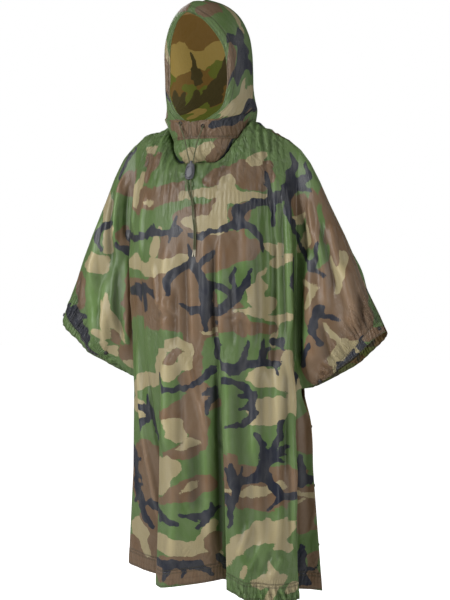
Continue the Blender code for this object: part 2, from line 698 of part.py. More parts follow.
def make_casing(material, collection):
    """Strip inside the face opening, from the chin seam over the crown and back, a column for each row of the hood."""
    half = HOOD_ROWS - 1

    def place(i, j):
        s = 1 - i / half
        side = 1 if s >= 0 else -1
        rim = mix(1, 1 / 11, abs(s))
        t = j / CASING_ROWS
        u = mix(CASING_END * smooth(1 - (1 - abs(s)) * 8), table_value(CASING, "v", "inner_u", rim), t)
        v = mix(rim, table_value(CASING, "v", "inner_v", rim), t)
        rim_point = hood_point(side, u, v)
        inward = Vector((0, 0.02, min(rim_point.z, 0.2))) - rim_point
        height = (WALL + CASING_WALL) / 2 + table_value(CASING, "v", "gap", rim)
        if s == 0:
            return Vector((HOOD_LEAN, rim_point.y, rim_point.z - 1.6 * height))
        return raised(lambda u, v: hood_point(side, u, v), u, v, height, inward, 0.04)[0]

    bm = grid(2 * half, CASING_ROWS, place)
    close_and_turn(bm, lambda centre: centre - Vector((0, 0, 0.17)))
    return add_mesh("face_casing", bm, material, collection, CASING_WALL)


# Fittings


def make_snap(name, centre, outward, material, collection):
    """A domed press stud cap that lies on a cloth point, a little clear of it."""
    bm = bmesh.new()
    bmesh.ops.create_cone(bm, cap_ends=True, segments=SNAP_SIDES, radius1=SNAP_RADIUS,
                          radius2=SNAP_RADIUS * 0.8, depth=SNAP_HEIGHT)
    turn = outward.to_track_quat("Z", "Y").to_matrix().to_4x4()
    bm.transform(Matrix.Translation(centre) @ turn)
    return add_mesh(name, bm, material, collection)


def make_snaps(side, label, material, collection):
    seat = WALL / 2 + SNAP_SEAT + SNAP_HEIGHT / 2
    front = Vector((0, -1, 0))
    for number, (u, v) in enumerate(CUFF_SNAPS[side], 1):
        centre, outward = raised(lambda u, v: flap_point(-1, u, v), side * u, v, seat, front)
        make_snap(f"cuff_snap_{label}_{number}", centre, outward, material, collection)
    for number, v in enumerate(SIDE_SNAPS, 1):
        u = side * (1 + SIDE_SHARE * SIDE_SNAP_OUT)
        centre, outward = raised(lambda u, v: side_point(1, u, v), u, v, seat, -front)
        make_snap(f"side_snap_{label}_{number}", centre, outward, material, collection)


def make_tube(name, points, radius, material, collection, closed=False):
    """A round cord or ring along a list of points."""
    curve = bpy.data.curves.new(name, "CURVE")
    curve.dimensions = "3D"
    curve.bevel_depth = radius
    curve.bevel_resolution = 2
    curve.use_fill_caps = not closed
    spline = curve.splines.new("POLY")
    spline.points.add(len(points) - 1)
    for spline_point, point in zip(spline.points, points):
        spline_point.co = (*point, 1)
    spline.use_cyclic_u = closed
    return add_object(name, curve, material, collection)


def loop_points(centre, across, along, count):
    """Points of an ellipse round a centre, with two vectors as its half axes."""
    angles = [2 * math.pi * k / count for k in range(count)]
    return [centre + across * math.cos(angle) + along * math.sin(angle) for angle in angles]


def make_eyelet(name, side, material, collection):
    height = WALL / 2 + GAP + EYELET_TUBE
    centre, outward = raised(lambda u, v: hood_point(side, u, v), *EYELETS[side], height, Vector((0, -1, 0)))
    across = outward.cross(Vector((0, 0, 1))).normalized() * EYELET_RADIUS
    along = outward.cross(across)
    points = loop_points(centre, across, along, EYELET_POINTS)
    return make_tube(name, points, EYELET_TUBE, material, collection, closed=True)


def make_knot(material, collection):
    """One wrap round both cords, a little clear of them."""
    points = loop_points(KNOT_CENTRE, Vector((KNOT_HALF_WIDTH, 0, 0)), Vector((0, KNOT_HALF_DEPTH, 0)), KNOT_POINTS)
    return make_tube("knot", points, KNOT_TUBE, material, collection, closed=True)


def make_lock_body(name, material, collection):
    """Flat egg with a button on top, lofted through its sections."""
    bm = bmesh.new()
    rings = []
    for section in LOCK_SECTIONS:
        ring = []
        for k in range(LOCK_SIDES):
            angle = 2 * math.pi * k / LOCK_SIDES
            x, y = math.cos(angle), math.sin(angle)
            x = math.copysign(abs(x) ** (2 / LOCK_POWER), x) * section.half_width
            y = math.copysign(abs(y) ** (2 / LOCK_POWER), y) * section.half_depth
            ring.append(bm.verts.new((x, y, section.height)))
        rings.append(ring)
    for low, high in zip(rings, rings[1:]):
        for k in range(LOCK_SIDES):
            after = (k + 1) % LOCK_SIDES
            bm.faces.new((low[k], low[after], high[after], high[k]))
    bm.faces.new(reversed(rings[0]))
    bm.faces.new(rings[-1])
    return add_mesh(name, bm, material, collection)


def make_lock(material, collection, cutters):
    body = make_lock_body("cord_lock", material, collection)
    bores = bmesh.new()
    for x in (-LOCK_BORE_X, LOCK_BORE_X):
        bmesh.ops.create_cone(bores, cap_ends=True, segments=LOCK_BORE_SIDES, radius1=LOCK_BORE_RADIUS,
                              radius2=LOCK_BORE_RADIUS, depth=0.07, matrix=Matrix.Translation((x, 0, 0)))
    cutter = add_mesh("lock_bores", bores, material, cutters)
    cutter.hide_render = True
    cutter.display_type = "WIRE"
    cut = body.modifiers.new("bores", "BOOLEAN")
    cut.object = cutter
    cut.solver = "EXACT"
    for obj in (body, cutter):
        obj.location = LOCK_CENTRE
        obj.rotation_euler = (LOCK_TILT, 0, 0)
    return body


def main():
    clear_scene()
    parts = new_collection("rain_poncho")
    cutters = new_collection("cutters")
    cloth = new_material("camouflage_cloth", (0.20, 0.22, 0.10), 0.45)
    hem_cloth = new_material("hem_cloth", (0.17, 0.15, 0.08), 0.5)
    stud = new_material("blackened_brass", (0.03, 0.03, 0.035), 0.35, 0.7)
    plastic = new_material("grey_plastic", (0.10, 0.10, 0.11), 0.5)
    cord = new_material("olive_cord", (0.16, 0.17, 0.08), 0.6)
    make_panel("front_panel", -1, cloth, parts)
    make_panel("back_panel", 1, cloth, parts)
    make_hem("front_hem", -1, hem_cloth, parts)
    make_hem("back_hem", 1, hem_cloth, parts)
    for side, label in ((1, "left"), (-1, "right")):
        make_cuff("cuff_front_" + label, -1, side, hem_cloth, parts)
        make_cuff("cuff_back_" + label, 1, side, hem_cloth, parts)
        make_hood_half("hood_" + label, side, cloth, parts)
        make_snaps(side, label, stud, parts)
        make_eyelet("eyelet_" + label, side, stud, parts)
        route = smooth_route(CORD_ROUTES[label], CORD_SPACING)
        make_tube("cord_" + label, route, CORD_RADIUS, cord, parts)
    make_throat(cloth, parts)
    make_casing(hem_cloth, parts)
    make_knot(cord, parts)
    make_lock(plastic, parts, cutters)


main()
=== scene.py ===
"""Rain poncho in woodland cloth, in the hollow form that it takes when it is worn with the hood up.

Metres, +Z up, front towards -Y, wearer's left towards +X.
Each cloth piece is a grid laid on the garment's form.
Across a panel, u runs from 0 at its middle to 1 at the arm flap's root and 2 at the cuff edge.
Down a panel, v runs from 0 at the neck and arm top to 1 at the chest, 2 at the underarm and 3 at the hem.
s and t are metres of cloth across and down from the middle of a panel's neck.
"""

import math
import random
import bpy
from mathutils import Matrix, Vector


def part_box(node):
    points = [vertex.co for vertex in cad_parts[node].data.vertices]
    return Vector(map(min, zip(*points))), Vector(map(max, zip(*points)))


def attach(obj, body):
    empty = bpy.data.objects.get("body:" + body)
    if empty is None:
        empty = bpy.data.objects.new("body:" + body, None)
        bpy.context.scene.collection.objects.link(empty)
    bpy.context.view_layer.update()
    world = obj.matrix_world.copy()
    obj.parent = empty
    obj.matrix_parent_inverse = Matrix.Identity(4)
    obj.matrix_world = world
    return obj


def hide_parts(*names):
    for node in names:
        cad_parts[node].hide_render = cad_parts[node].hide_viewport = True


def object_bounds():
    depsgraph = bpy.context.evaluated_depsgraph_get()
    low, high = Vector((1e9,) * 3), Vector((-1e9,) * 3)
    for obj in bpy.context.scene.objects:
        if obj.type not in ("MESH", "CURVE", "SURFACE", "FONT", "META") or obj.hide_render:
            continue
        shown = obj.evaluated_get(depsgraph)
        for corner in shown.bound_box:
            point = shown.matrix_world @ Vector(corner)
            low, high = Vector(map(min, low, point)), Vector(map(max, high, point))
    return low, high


bl_info = {
    "name": "Rain Poncho",
    "version": (1, 0, 0),
    "blender": (4, 5, 0),
    "location": "3D View > Sidebar > Poncho",
    "description": "Hooded rain poncho in printed ripstop cloth, with its cord, lock, studs and studio",
    "category": "Object",
}

from collections import namedtuple
from functools import partial

import bmesh
import bpy
import numpy as np
from mathutils import Matrix, Vector

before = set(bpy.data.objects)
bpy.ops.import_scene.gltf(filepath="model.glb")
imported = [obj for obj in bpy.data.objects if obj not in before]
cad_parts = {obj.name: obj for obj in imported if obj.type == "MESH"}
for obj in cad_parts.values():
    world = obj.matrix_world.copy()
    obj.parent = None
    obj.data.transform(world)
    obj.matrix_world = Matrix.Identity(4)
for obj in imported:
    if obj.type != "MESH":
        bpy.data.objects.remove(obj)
CAD_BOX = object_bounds()


def read_rows(kind, text):
    """A table from text, with a comma after each row. Lines that start with # are headings."""
    lines = [line for line in text.splitlines() if not line.strip().startswith("#")]
    rows = [row.split() for row in " ".join(lines).split(",")]
    return [kind(*(word if word.isalpha() else float(word) for word in row)) for row in rows if row]


# The garment's form

SEAM_Y, SEAM_X = 0.0005, 0.0004
GAP, SEAT, STRIP_GAP = 0.0003, 0.0006, 0.0005
NECK_WIDTH, NECK_DEPTH = 0.105, 0.088
NECK_FRONT_Z, NECK_SIDE_Z, NECK_BACK_Z = -0.046, 0.055, 0.059
NECK_RISE_START, NECK_RISE_SPAN = 25.0, 65.0
CHEST_Z, UNDERARM_Z = -0.28, -0.585
SHOULDER_X = 0.228
ROOT_ANGLE = math.radians(84)
CUFF_TOP, CUFF_LOW = np.array((0.455, 0, -0.448)), np.array((0.268, 0, -0.583))
CUFF_BULGE, CUFF_CHEST, CUFF_THICKNESS, CUFF_CLOSED = 0.011, 0.42, 0.050, 0.004
SIDE_FLAP, HEM_HEIGHT = 0.028, 0.037
CUFF_SHARE = 0.055
SIDE_SHARE = (1 - CUFF_SHARE) / 3
SIDE_CLOSING = 0.6
SIDE_LIFT = {1: np.array((0, 0, 0.004)), -1: np.array((-0.003, 0, 0.022))}
SIDE_SWELL = {1: -0.004, -1: 0.012}
SHOULDER_RISE = {1: 0.0, -1: 0.026}

ArmTop = namedtuple("ArmTop", "x z")
ARM_TOP = read_rows(ArmTop, """
    0.105 0.055, 0.150 0.030, 0.200 0.008, 0.235 -0.018, 0.262 -0.050, 0.288 -0.095, 0.312 -0.145,
    0.352 -0.220, 0.384 -0.290, 0.405 -0.345, 0.438 -0.410, 0.455 -0.448,
""")

# Level sections of the body: half width, depth to the front and to the back, shift of the middle
Section = namedtuple("Section", "z half_width front back shift")
SECTIONS = read_rows(Section, """
    -0.28 0.227 0.138 0.125 0.004,
    -0.45 0.220 0.137 0.122 0.008,
    -0.60 0.217 0.137 0.126 0.011,
    -0.80 0.226 0.142 0.144 0.018,
    -1.10 0.248 0.150 0.160 0.022,
""")

# Folds of the body. lean 0 is a soft fold, and 1 or -1 a knife fold that is steep on its +u or -u side
Fold = namedtuple("Fold", "u_top u_low z_top z_full z_low width_top width_low depth lean")
FOLDS = {
    -1: read_rows(Fold, """
        0.24 0.205 -0.12 -1.10 -1.20 0.20 0.50 -0.085 1, -0.32 -0.38 -0.34 -1.10 -1.20 0.20 0.60 -0.080 1,
        0.92 0.86 -0.55 -1.10 -1.20 0.20 0.55 -0.060 -1, 0.60 0.62 -0.50 -1.10 -1.20 0.30 0.32 0.026 0,
        -0.22 -0.20 -0.20 -0.80 -1.20 0.10 0.16 0.010 0, 0.38 0.40 -0.16 -0.60 -1.20 0.11 0.12 0.008 0,
        0.49 0.49 -0.30 -0.70 -1.20 0.10 0.11 -0.010 0, 0.67 0.70 0.02 -0.20 -0.50 0.12 0.13 -0.018 0,
        0.82 0.84 -0.06 -0.25 -0.60 0.11 0.12 0.012 0, -0.62 -0.58 -0.05 -0.25 -0.55 0.10 0.12 -0.010 0,
        -0.05 0.02 -0.10 -0.25 -0.60 0.10 0.14 -0.007 0, 0.88 0.86 -0.03 -0.30 -1.20 0.16 0.16 0.012 0,
        -0.88 -0.86 -0.03 -0.30 -1.20 0.16 0.16 0.012 0,
    """),
    1: read_rows(Fold, """
        -0.30 -0.34 -0.14 -1.10 -1.20 0.20 0.42 -0.062 1, 0.34 0.38 -0.20 -1.10 -1.20 0.20 0.46 -0.070 -1,
        0.02 0.04 -0.08 -0.80 -1.20 0.16 0.20 0.018 0, 0.20 0.21 -0.15 -0.60 -1.20 0.10 0.11 -0.012 0,
        -0.14 -0.13 -0.30 -0.75 -1.20 0.09 0.12 -0.011 0, -0.58 -0.60 -0.04 -0.50 -1.20 0.14 0.18 0.020 0,
        0.66 0.64 -0.04 -0.45 -1.20 0.14 0.18 0.018 0, -0.78 -0.74 -0.10 -0.55 -1.20 0.09 0.12 -0.014 0,
        0.82 0.80 -0.45 -1.10 -1.20 0.12 0.20 -0.030 0, 0.88 0.90 -0.03 -0.30 -0.70 0.16 0.16 0.012 0,
        -0.90 -0.90 -0.03 -0.30 -0.70 0.16 0.16 0.012 0,
    """),
}
STEEP_SIDE, KNIFE_POWER, GROWTH_POWER, FADE_OUT = 0.12, 1.6, 1.4, 0.08

# Folds of an arm flap, fanning from the shoulder: reach is how far down the cuff edge a fold ends
FlapFold = namedtuple("FlapFold", "face side reach width depth start")
FLAP_FOLDS = read_rows(FlapFold, """
    -1 1 0.34 0.24 -0.016 0.05,
    -1 1 0.76 0.22 -0.018 0.15,
    -1 -1 0.38 0.24 -0.018 0.05,
    -1 -1 0.80 0.20 -0.016 0.20,
    1 1 0.32 0.24 -0.016 0.05,
    1 1 0.72 0.22 -0.016 0.20,
    1 -1 0.40 0.24 -0.016 0.05,
    1 -1 0.80 0.20 -0.018 0.10,
""")
FAN_POWER = 0.2

HemLevel = namedtuple("HemLevel", "u z")
HEM_LEVELS = {
    -1: read_rows(HemLevel, """
        -1.0 -1.030, -0.42 -1.054, -0.24 -1.063, 0.16 -1.040, 0.26 -1.050, 0.40 -1.070, 0.75 -1.072,
        1.0 -1.058,
    """),
    1: read_rows(HemLevel, """
        -1.0 -1.030, -0.4 -1.060, 0.0 -1.066, 0.5 -1.058, 1.0 -1.058,
    """),
}
HEM_GATHER_CENTRE = {-1: 0.58, 1: -0.10}

# Slanting sections of the hood, from its lower edge to the crown seam
HoodSection = namedtuple("HoodSection", "front_x front_y front_z side_x side_y side_z back_y back_z puff")
HOOD_SECTIONS = read_rows(HoodSection, """
    0.000 -0.094 0.012 0.104 0.000 0.0563 0.087 0.0603 0.000,
    0.000 -0.097 0.050 0.112 -0.008 0.072 0.097 0.074 0.004,
    0.022 -0.0955 0.0535 0.113 -0.012 0.082 0.100 0.085 0.008,
    0.0396 -0.088 0.064 0.112 -0.015 0.090 0.102 0.096 0.012,
    0.0637 -0.0785 0.0846 0.106 -0.018 0.112 0.104 0.122 0.016,
    0.0778 -0.078 0.1206 0.103 -0.020 0.140 0.105 0.150 0.017,
    0.079 -0.072 0.161 0.104 -0.020 0.175 0.104 0.187 0.018,
    0.0755 -0.077 0.217 0.104 -0.020 0.225 0.098 0.237 0.018,
    0.0625 -0.090 0.2527 0.098 -0.020 0.266 0.083 0.284 0.014,
    0.039 -0.106 0.286 0.080 -0.025 0.308 0.050 0.325 0.008,
    0.017 -0.118 0.302 0.049 -0.045 0.334 0.005 0.348 0.003,
    0.000 -0.1235 0.309 0.000 -0.078 0.343 -0.034 0.353 0.000,
""")
HOOD_FRONT_COLUMNS, HOOD_BACK_COLUMNS, HOOD_ROWS = 7, 8, 11
HOOD_SWELL = {1: -0.004, -1: 0.001}
COLLAR_SWELL = {1: -0.006, -1: 0.015}
HOOD_LEAN, CHIN_SEAM_X, CHIN_SHARE = -0.005, -0.012, 1 / 11
THROAT_ANGLE, THROAT_BULGE = 59.0, 0.09
Casing = namedtuple("Casing", "v inner_u inner_v gap")
CASING = [
    Casing(1 / 11, 0.010, 0.040, 0.0016),
    Casing(2 / 11, 0.055, 0.055, 0.0026),
    Casing(3 / 11, 0.100, 0.110, 0.0036),
    Casing(4 / 11, 0.110, 0.340, 0.0036),
    Casing(5 / 11, 0.110, 5 / 11, 0.0016),
    Casing(8 / 11, 0.120, 8 / 11, 0.0016),
    Casing(9 / 11, 0.120, 9 / 11, 0.0028),
    Casing(10 / 11, 0.140, 10 / 11, 0.0028),
    Casing(1, 0.270, 1.000, 0.0028),
]

# Fittings
CUFF_SNAPS = {1: ((1.9725, 0.22), (1.9725, 1.76)), -1: ((1.9725, 0.25), (1.838, 1.50))}
SIDE_SNAPS, SIDE_SNAP_OUT = (2.2, 2.52, 2.84), 0.84
EYELETS = {1: (0.098, 0.062), -1: (0.078, 0.088)}
LOCK_CENTRE, LOCK_TILT = Vector((0.0, -0.1176, -0.068)), math.radians(-14)
CORD_RADIUS, CORD_SPACING, CORD_TIP_Z = 0.0014, 0.004, -0.252
CORD_ROUTES = {
    "left": [
        (0.0246, -0.0979, 0.0402),
        (0.0250, -0.1003, 0.0382),
        (0.0238, -0.1010, 0.0330),
        (0.0131, -0.1046, 0.0045),
        (0.0078, -0.1092, -0.0250),
        (0.0058, -0.1125, -0.0476),
        (0.0058, -0.1227, -0.0884),
        (0.0110, -0.1284, -0.1200),
        (0.0146, -0.1304, -0.1340),
        (0.0192, -0.1342, -0.1460),
        (0.0194, -0.1344, -0.1500),
        (0.0229, -0.1354, -0.1790),
        (0.0276, -0.1374, -0.2113),
        (0.0268, -0.1385, -0.2570),
        (0.0258, -0.1385, -0.2700),
    ],
    "right": [
        (-0.0396, -0.0962, 0.0496),
        (-0.0402, -0.0988, 0.0476),
        (-0.0382, -0.0998, 0.0424),
        (-0.0240, -0.1046, 0.0132),
        (-0.0120, -0.1092, -0.0250),
        (-0.0058, -0.1125, -0.0476),
        (-0.0058, -0.1227, -0.0884),
        (0.0040, -0.1284, -0.1200),
        (0.0106, -0.1304, -0.1340),
        (0.0158, -0.1342, -0.1460),
        (0.0160, -0.1344, -0.1500),
        (0.0187, -0.1354, -0.1790),
        (0.0234, -0.1374, -0.2113),
        (0.0224, -0.1385, -0.2570),
        (0.0190, -0.1382, -0.2700),
    ],
}

# Columns on each half of the body and on each flap, and rows down each stretch
BODY_COLUMNS, FLAP_COLUMNS, SIDE_COLUMNS = 80, 54, 18
YOKE_ROWS, ARM_ROWS, SKIRT_ROWS = 50, 48, 84
# Faces across and down the strips, and points across and down the others
HEM_GRID, CUFF_GRID = (620, 10), (160, 14)
HOOD_GRID, THROAT_GRID, CASING_GRID = (121, 133), (161, 47), (241, 13)

# Heights of the tucks and waves that gathers and handling leave in the cloth
YOKE_TUCKS, YOKE_RIDGES, YOKE_WRINKLES, CHEST_WAVES = 0.0019, 0.0042, 0.0030, 0.0005
CUFF_FRILL, HEM_WAVE, CUFF_WAVE = 0.0024, 0.0036, 0.0034

# The cuff strips: where they start down the flap's edge and how far they run, in v
CUFF_START, CUFF_LENGTH = 0.02, 1.93


def smooth(t):
    """0 below 0, 1 above 1, and a smooth rise between."""
    t = np.clip(t, 0, 1)
    return t * t * (3 - 2 * t)


def mix(low, high, t):
    return low + (high - low) * t


def table_value(rows, key, column, at):
    """A column of a table read at places between its rows, in straight steps."""
    keys, values = [getattr(row, key) for row in rows], [getattr(row, column) for row in rows]
    if keys[0] > keys[-1]:
        keys, values = keys[::-1], values[::-1]
    return np.interp(at, keys, values)


def curve_value(values, at):
    """A smooth curve through evenly spaced values, read at places from 0 to 1."""
    values = np.asarray(values, float)
    place = np.clip(np.asarray(at, float) * (len(values) - 1), 0, len(values) - 1.0001)
    i = place.astype(int)
    t = (place - i).reshape(place.shape + (1,) * (values.ndim - 1))
    before, low = values[np.maximum(i - 1, 0)], values[i]
    high, after = values[i + 1], values[np.minimum(i + 2, len(values) - 1)]
    return 0.5 * (
        2 * low
        + (high - before) * t
        + (2 * before - 5 * low + 4 * high - after) * t ** 2
        + (3 * low - before - 3 * high + after) * t ** 3
    )


def stack(*parts):
    return np.stack(np.broadcast_arrays(*parts), axis=-1).astype(float)


def unit(vectors):
    return vectors / np.maximum(np.linalg.norm(vectors, axis=-1, keepdims=True), 1e-12)


def neck_z(degrees):
    rise = smooth((np.abs(degrees) - NECK_RISE_START) / NECK_RISE_SPAN)
    return mix(NECK_FRONT_Z, NECK_SIDE_Z, rise)


def sided(table, side):
    return np.where(side > 0, table[1], table[-1])


def top_line(face, u):
    """The panel's top edge: round the neck, along the shoulder, down the arm top."""
    u = np.asarray(u, float)
    side, reach = np.where(u > 0, 1.0, -1.0), np.abs(u)
    angle = np.clip(u, -0.5, 0.5) * math.pi
    round_neck = neck_z(np.degrees(angle)) if face < 0 else mix(NECK_SIDE_Z, NECK_BACK_Z, np.cos(angle))
    x = np.where(reach <= 1, mix(NECK_WIDTH, SHOULDER_X, 2 * reach - 1),
                 mix(SHOULDER_X, CUFF_TOP[0], reach - 1))
    rise = sided(SHOULDER_RISE, side) * smooth((reach - 0.5) / 0.4) * (1 - smooth((reach - 1.1) / 0.5))
    neck = stack(NECK_WIDTH * np.sin(angle), face * (SEAM_Y + NECK_DEPTH * np.cos(angle)), round_neck)
    arm = stack(side * x, face * SEAM_Y, table_value(ARM_TOP, "x", "z", x) + rise)
    return np.where((reach <= 0.5)[..., None], neck, arm)


def hem_z(face, u):
    return table_value(HEM_LEVELS[face], "u", "z", u)


def section_point(face, u, z):
    """Points of the body's plain level section, and their outward directions."""
    half_width = table_value(SECTIONS, "z", "half_width", z)
    depth = table_value(SECTIONS, "z", "front" if face < 0 else "back", z)
    angle = u * ROOT_ANGLE
    x = half_width * np.sin(angle) + table_value(SECTIONS, "z", "shift", z)
    outward = unit(stack(depth * np.sin(angle), face * half_width * np.cos(angle), 0.0))
    return stack(x, face * depth * np.cos(angle), z), outward


def fold_profile(d, lean):
    """Height of a fold at d widths from its line, from 0 to 1."""
    if lean == 0:
        return np.where(np.abs(d) < 1, np.cos(np.clip(d, -1, 1) * math.pi / 2) ** 2, 0)
    d = d * lean
    return np.where(d <= 0, np.clip(1 + d, 0, 1) ** KNIFE_POWER, 1 - smooth(d / STEEP_SIDE))


def fold_height(fold, u, z):
    down = np.clip((fold.z_top - z) / (fold.z_top - fold.z_low), 0, 1)
    growth = np.clip((fold.z_top - z) / (fold.z_top - fold.z_full), 0, 1) ** GROWTH_POWER
    fade = 1 - smooth((fold.z_low - z) / FADE_OUT)
    across = (u - mix(fold.u_top, fold.u_low, down)) / mix(fold.width_top, fold.width_low, down)
    return fold.depth * growth * fade * fold_profile(across, fold.lean)


def body_point(face, u, v):
    """Points between the middle of a panel and the flap's root."""
    u, v = np.broadcast_arrays(np.asarray(u, float), np.asarray(v, float))
    over = np.clip(v, 0, 1) * math.pi / 2
    drop, depth = 1 - np.cos(over), np.sin(over)
    low = hem_z(face, u)
    z = np.select(
        [v <= 1, v <= 2, v <= 3],
        [CHEST_Z + 0 * v, mix(CHEST_Z, UNDERARM_Z, v - 1),
         mix(UNDERARM_Z, low + HEM_HEIGHT + STRIP_GAP, v - 2)],
        mix(low + HEM_HEIGHT, low, v - 3),
    )
    point, outward = section_point(face, u, z)
    top = top_line(face, u)
    yoke = stack(mix(top[..., 0], point[..., 0], depth), mix(top[..., 1], point[..., 1], depth),
                 mix(top[..., 2], point[..., 2], drop))
    slope = unit(stack(outward[..., 0] * depth, outward[..., 1] * depth, 1.001 - depth))
    above = (v < 1)[..., None]
    point, outward = np.where(above, yoke, point), np.where(above, slope, outward)
    relief = sum(fold_height(fold, u, point[..., 2]) for fold in FOLDS[face]) * smooth(v / 0.4)
    return point + outward * relief[..., None]


def cuff_line(side, reach):
    """Points of the cuff edge, from its top corner at 0 to its lower corner at 1."""
    along = CUFF_LOW - CUFF_TOP
    outward = unit(np.array((-along[2], 0, along[0])))
    lift = np.where((side > 0)[..., None], SIDE_LIFT[1], SIDE_LIFT[-1])
    bulge = (CUFF_BULGE * np.sin(math.pi * reach))[..., None]
    return CUFF_TOP + lift + along * reach[..., None] + outward * bulge


def flap_relief(face, side, q, reach):
    total = 0.0
    for fold in FLAP_FOLDS:
        if fold.face == face:
            line = fold.reach * np.maximum(q, 0.001) ** FAN_POWER
            height = fold.depth * smooth((q - fold.start) / 0.4)
            height = height * fold_profile((reach - line) / (fold.width * mix(0.6, 1.2, q)), 0)
            total = total + np.where(side == fold.side, height, 0)
    return total


def flap_point(face, u, v):
    """Points of an arm flap, between its root and the cuff edge."""
    u, v = np.broadcast_arrays(np.asarray(u, float), np.asarray(v, float))
    side, q = np.where(u > 0, 1.0, -1.0), np.abs(u) - 1
    over = np.clip(v, 0, 1) * math.pi / 2
    depth = np.sin(over)
    reach = np.where(v < 1, CUFF_CHEST * (1 - np.cos(over)), mix(CUFF_CHEST, 1, v - 1))
    root, cuff, arm = body_point(face, side, v), cuff_line(side, reach), top_line(face, u)
    start, end = top_line(face, side), top_line(face, 2 * side)
    rise = arm[..., 2] - mix(start[..., 2], end[..., 2], q)
    fade = np.maximum(0, 1 - v / 1.3) ** 2
    x = mix(root[..., 0] * side, cuff[..., 0], q) + sided(SIDE_SWELL, side) * np.sin(math.pi * q) * fade
    z = mix(root[..., 2], cuff[..., 2], q) + rise * fade
    closing = 1 - np.maximum(0, v - 1) ** 1.5
    puff = (mix(CUFF_CLOSED, CUFF_THICKNESS, closing) * depth
            + flap_relief(face, side, q, reach) * depth * closing)
    y = mix(np.abs(root[..., 1]), np.maximum(puff, CUFF_CLOSED * depth + SEAM_Y), smooth(q / 0.4))
    return stack(side * x, face * y, z)


def side_point(face, u, v):
    """Points of the snapped side edge below the underarm, where front and back lie on each other."""
    side = np.where(u > 0, 1.0, -1.0)
    out = (np.abs(u) - 1) / SIDE_SHARE
    root = body_point(face, side, v)
    closed = face * mix(np.abs(root[..., 1]), 0.0009, smooth(out / SIDE_CLOSING)) - root[..., 1]
    reach = np.maximum(np.abs(body_point(-1, side, v)[..., 0]), np.abs(body_point(1, side, v)[..., 0]))
    width = SIDE_FLAP + reach - np.abs(root[..., 0])
    step = stack(side * width * out, closed, 0.0)
    start = flap_point(face, u, 2 + 0 * v) - body_point(face, side, 2 + 0 * v)
    return root + start + (step - start) * smooth((v - 2) / 0.2)[..., None]


def panel_point(face, u, v):
    u, v = np.broadcast_arrays(np.asarray(u, float), np.asarray(v, float))
    body = body_point(face, np.clip(u, -1, 1), v)
    flap = flap_point(face, np.where(np.abs(u) <= 1, np.where(u > 0, 1.0, -1.0), u), np.minimum(v, 2))
    edge = side_point(face, np.where(np.abs(u) <= 1, np.where(u > 0, 1.0, -1.0), u), np.maximum(v, 2))
    outside = np.where((v <= 2)[..., None], flap, edge)
    return np.where((np.abs(u) <= 1)[..., None], body, outside)


def collar_z(degrees):
    """Lower edge of the hood: level under the chin, then along the neck seam."""
    return np.maximum(HOOD_SECTIONS[0].front_z, neck_z(degrees) + SEAT)


def hood_value(column, v):
    return curve_value([getattr(row, column) for row in HOOD_SECTIONS], v)


def hood_point(side, u, v):
    """u runs from the face opening (0) past the side (0.5) to the centre seam (1), v from neck to crown."""
    u, v = np.broadcast_arrays(np.asarray(u, float), np.asarray(v, float))
    chin = 1 - smooth((v - CHIN_SHARE) / CHIN_SHARE)
    front_x = np.maximum(hood_value("front_x", v), 0) + side * CHIN_SEAM_X * chin + SEAM_X
    front_y, front_z = hood_value("front_y", v), hood_value("front_z", v)
    side_x, side_y, side_z = (hood_value("side_" + axis, v) for axis in "xyz")
    swell = mix(COLLAR_SWELL[side] * smooth(v / 0.1), HOOD_SWELL[side], smooth(v / 0.3))
    side_x = np.maximum(side_x + swell * smooth((1 - v) / 0.2), GAP)
    start = np.arcsin(np.clip(front_x / side_x, -0.95, 0.95))
    start = mix(start, 0, smooth((v - 0.93) / 0.07))
    angle = mix(start, math.pi / 2, 2 * u)
    reach = (front_y - side_y) / np.maximum(0.2, np.cos(start))
    rise = np.where(v < 0.2, 1 - np.cos(u * math.pi), smooth(2 * u))
    front = stack(
        side_x * np.sin(angle),
        side_y + reach * np.cos(angle) - hood_value("puff", v) * np.sin(2 * u * math.pi),
        np.where(v <= 0, collar_z(np.degrees(angle)), mix(front_z, side_z, rise)),
    )
    angle = (2 * u - 1) * math.pi / 2
    rise = np.where(v < 0.05, np.sin(angle), smooth(2 * u - 1))
    back = stack(side_x * np.cos(angle), side_y + (hood_value("back_y", v) - side_y) * np.sin(angle),
                 mix(side_z, hood_value("back_z", v), rise))
    point = np.where((u <= 0.5)[..., None], front, back)
    lean = HOOD_LEAN * smooth((v - 0.25) / 0.45)
    x = np.where((v > 0.2) | (u > 0.5), np.maximum(point[..., 0], SEAM_X), point[..., 0])
    point[..., 0] = side * x + lean
    return point


def net_surface(net, across, down):
    """Points of a smooth surface through a net of points, at places from 0 to 1 across and down it."""
    columns = curve_value(np.swapaxes(net, 0, 1), across)
    return curve_value(np.swapaxes(columns, 0, 1), down)


def hood_u(i):
    return np.where(i <= HOOD_FRONT_COLUMNS, i / HOOD_FRONT_COLUMNS / 2,
                    0.5 + (i - HOOD_FRONT_COLUMNS) / HOOD_BACK_COLUMNS / 2)


def hood_net(side):
    i, j = np.arange(HOOD_FRONT_COLUMNS + HOOD_BACK_COLUMNS + 1), np.arange(HOOD_ROWS + 1)
    return hood_point(side, hood_u(i)[None, :], j[:, None] / HOOD_ROWS)


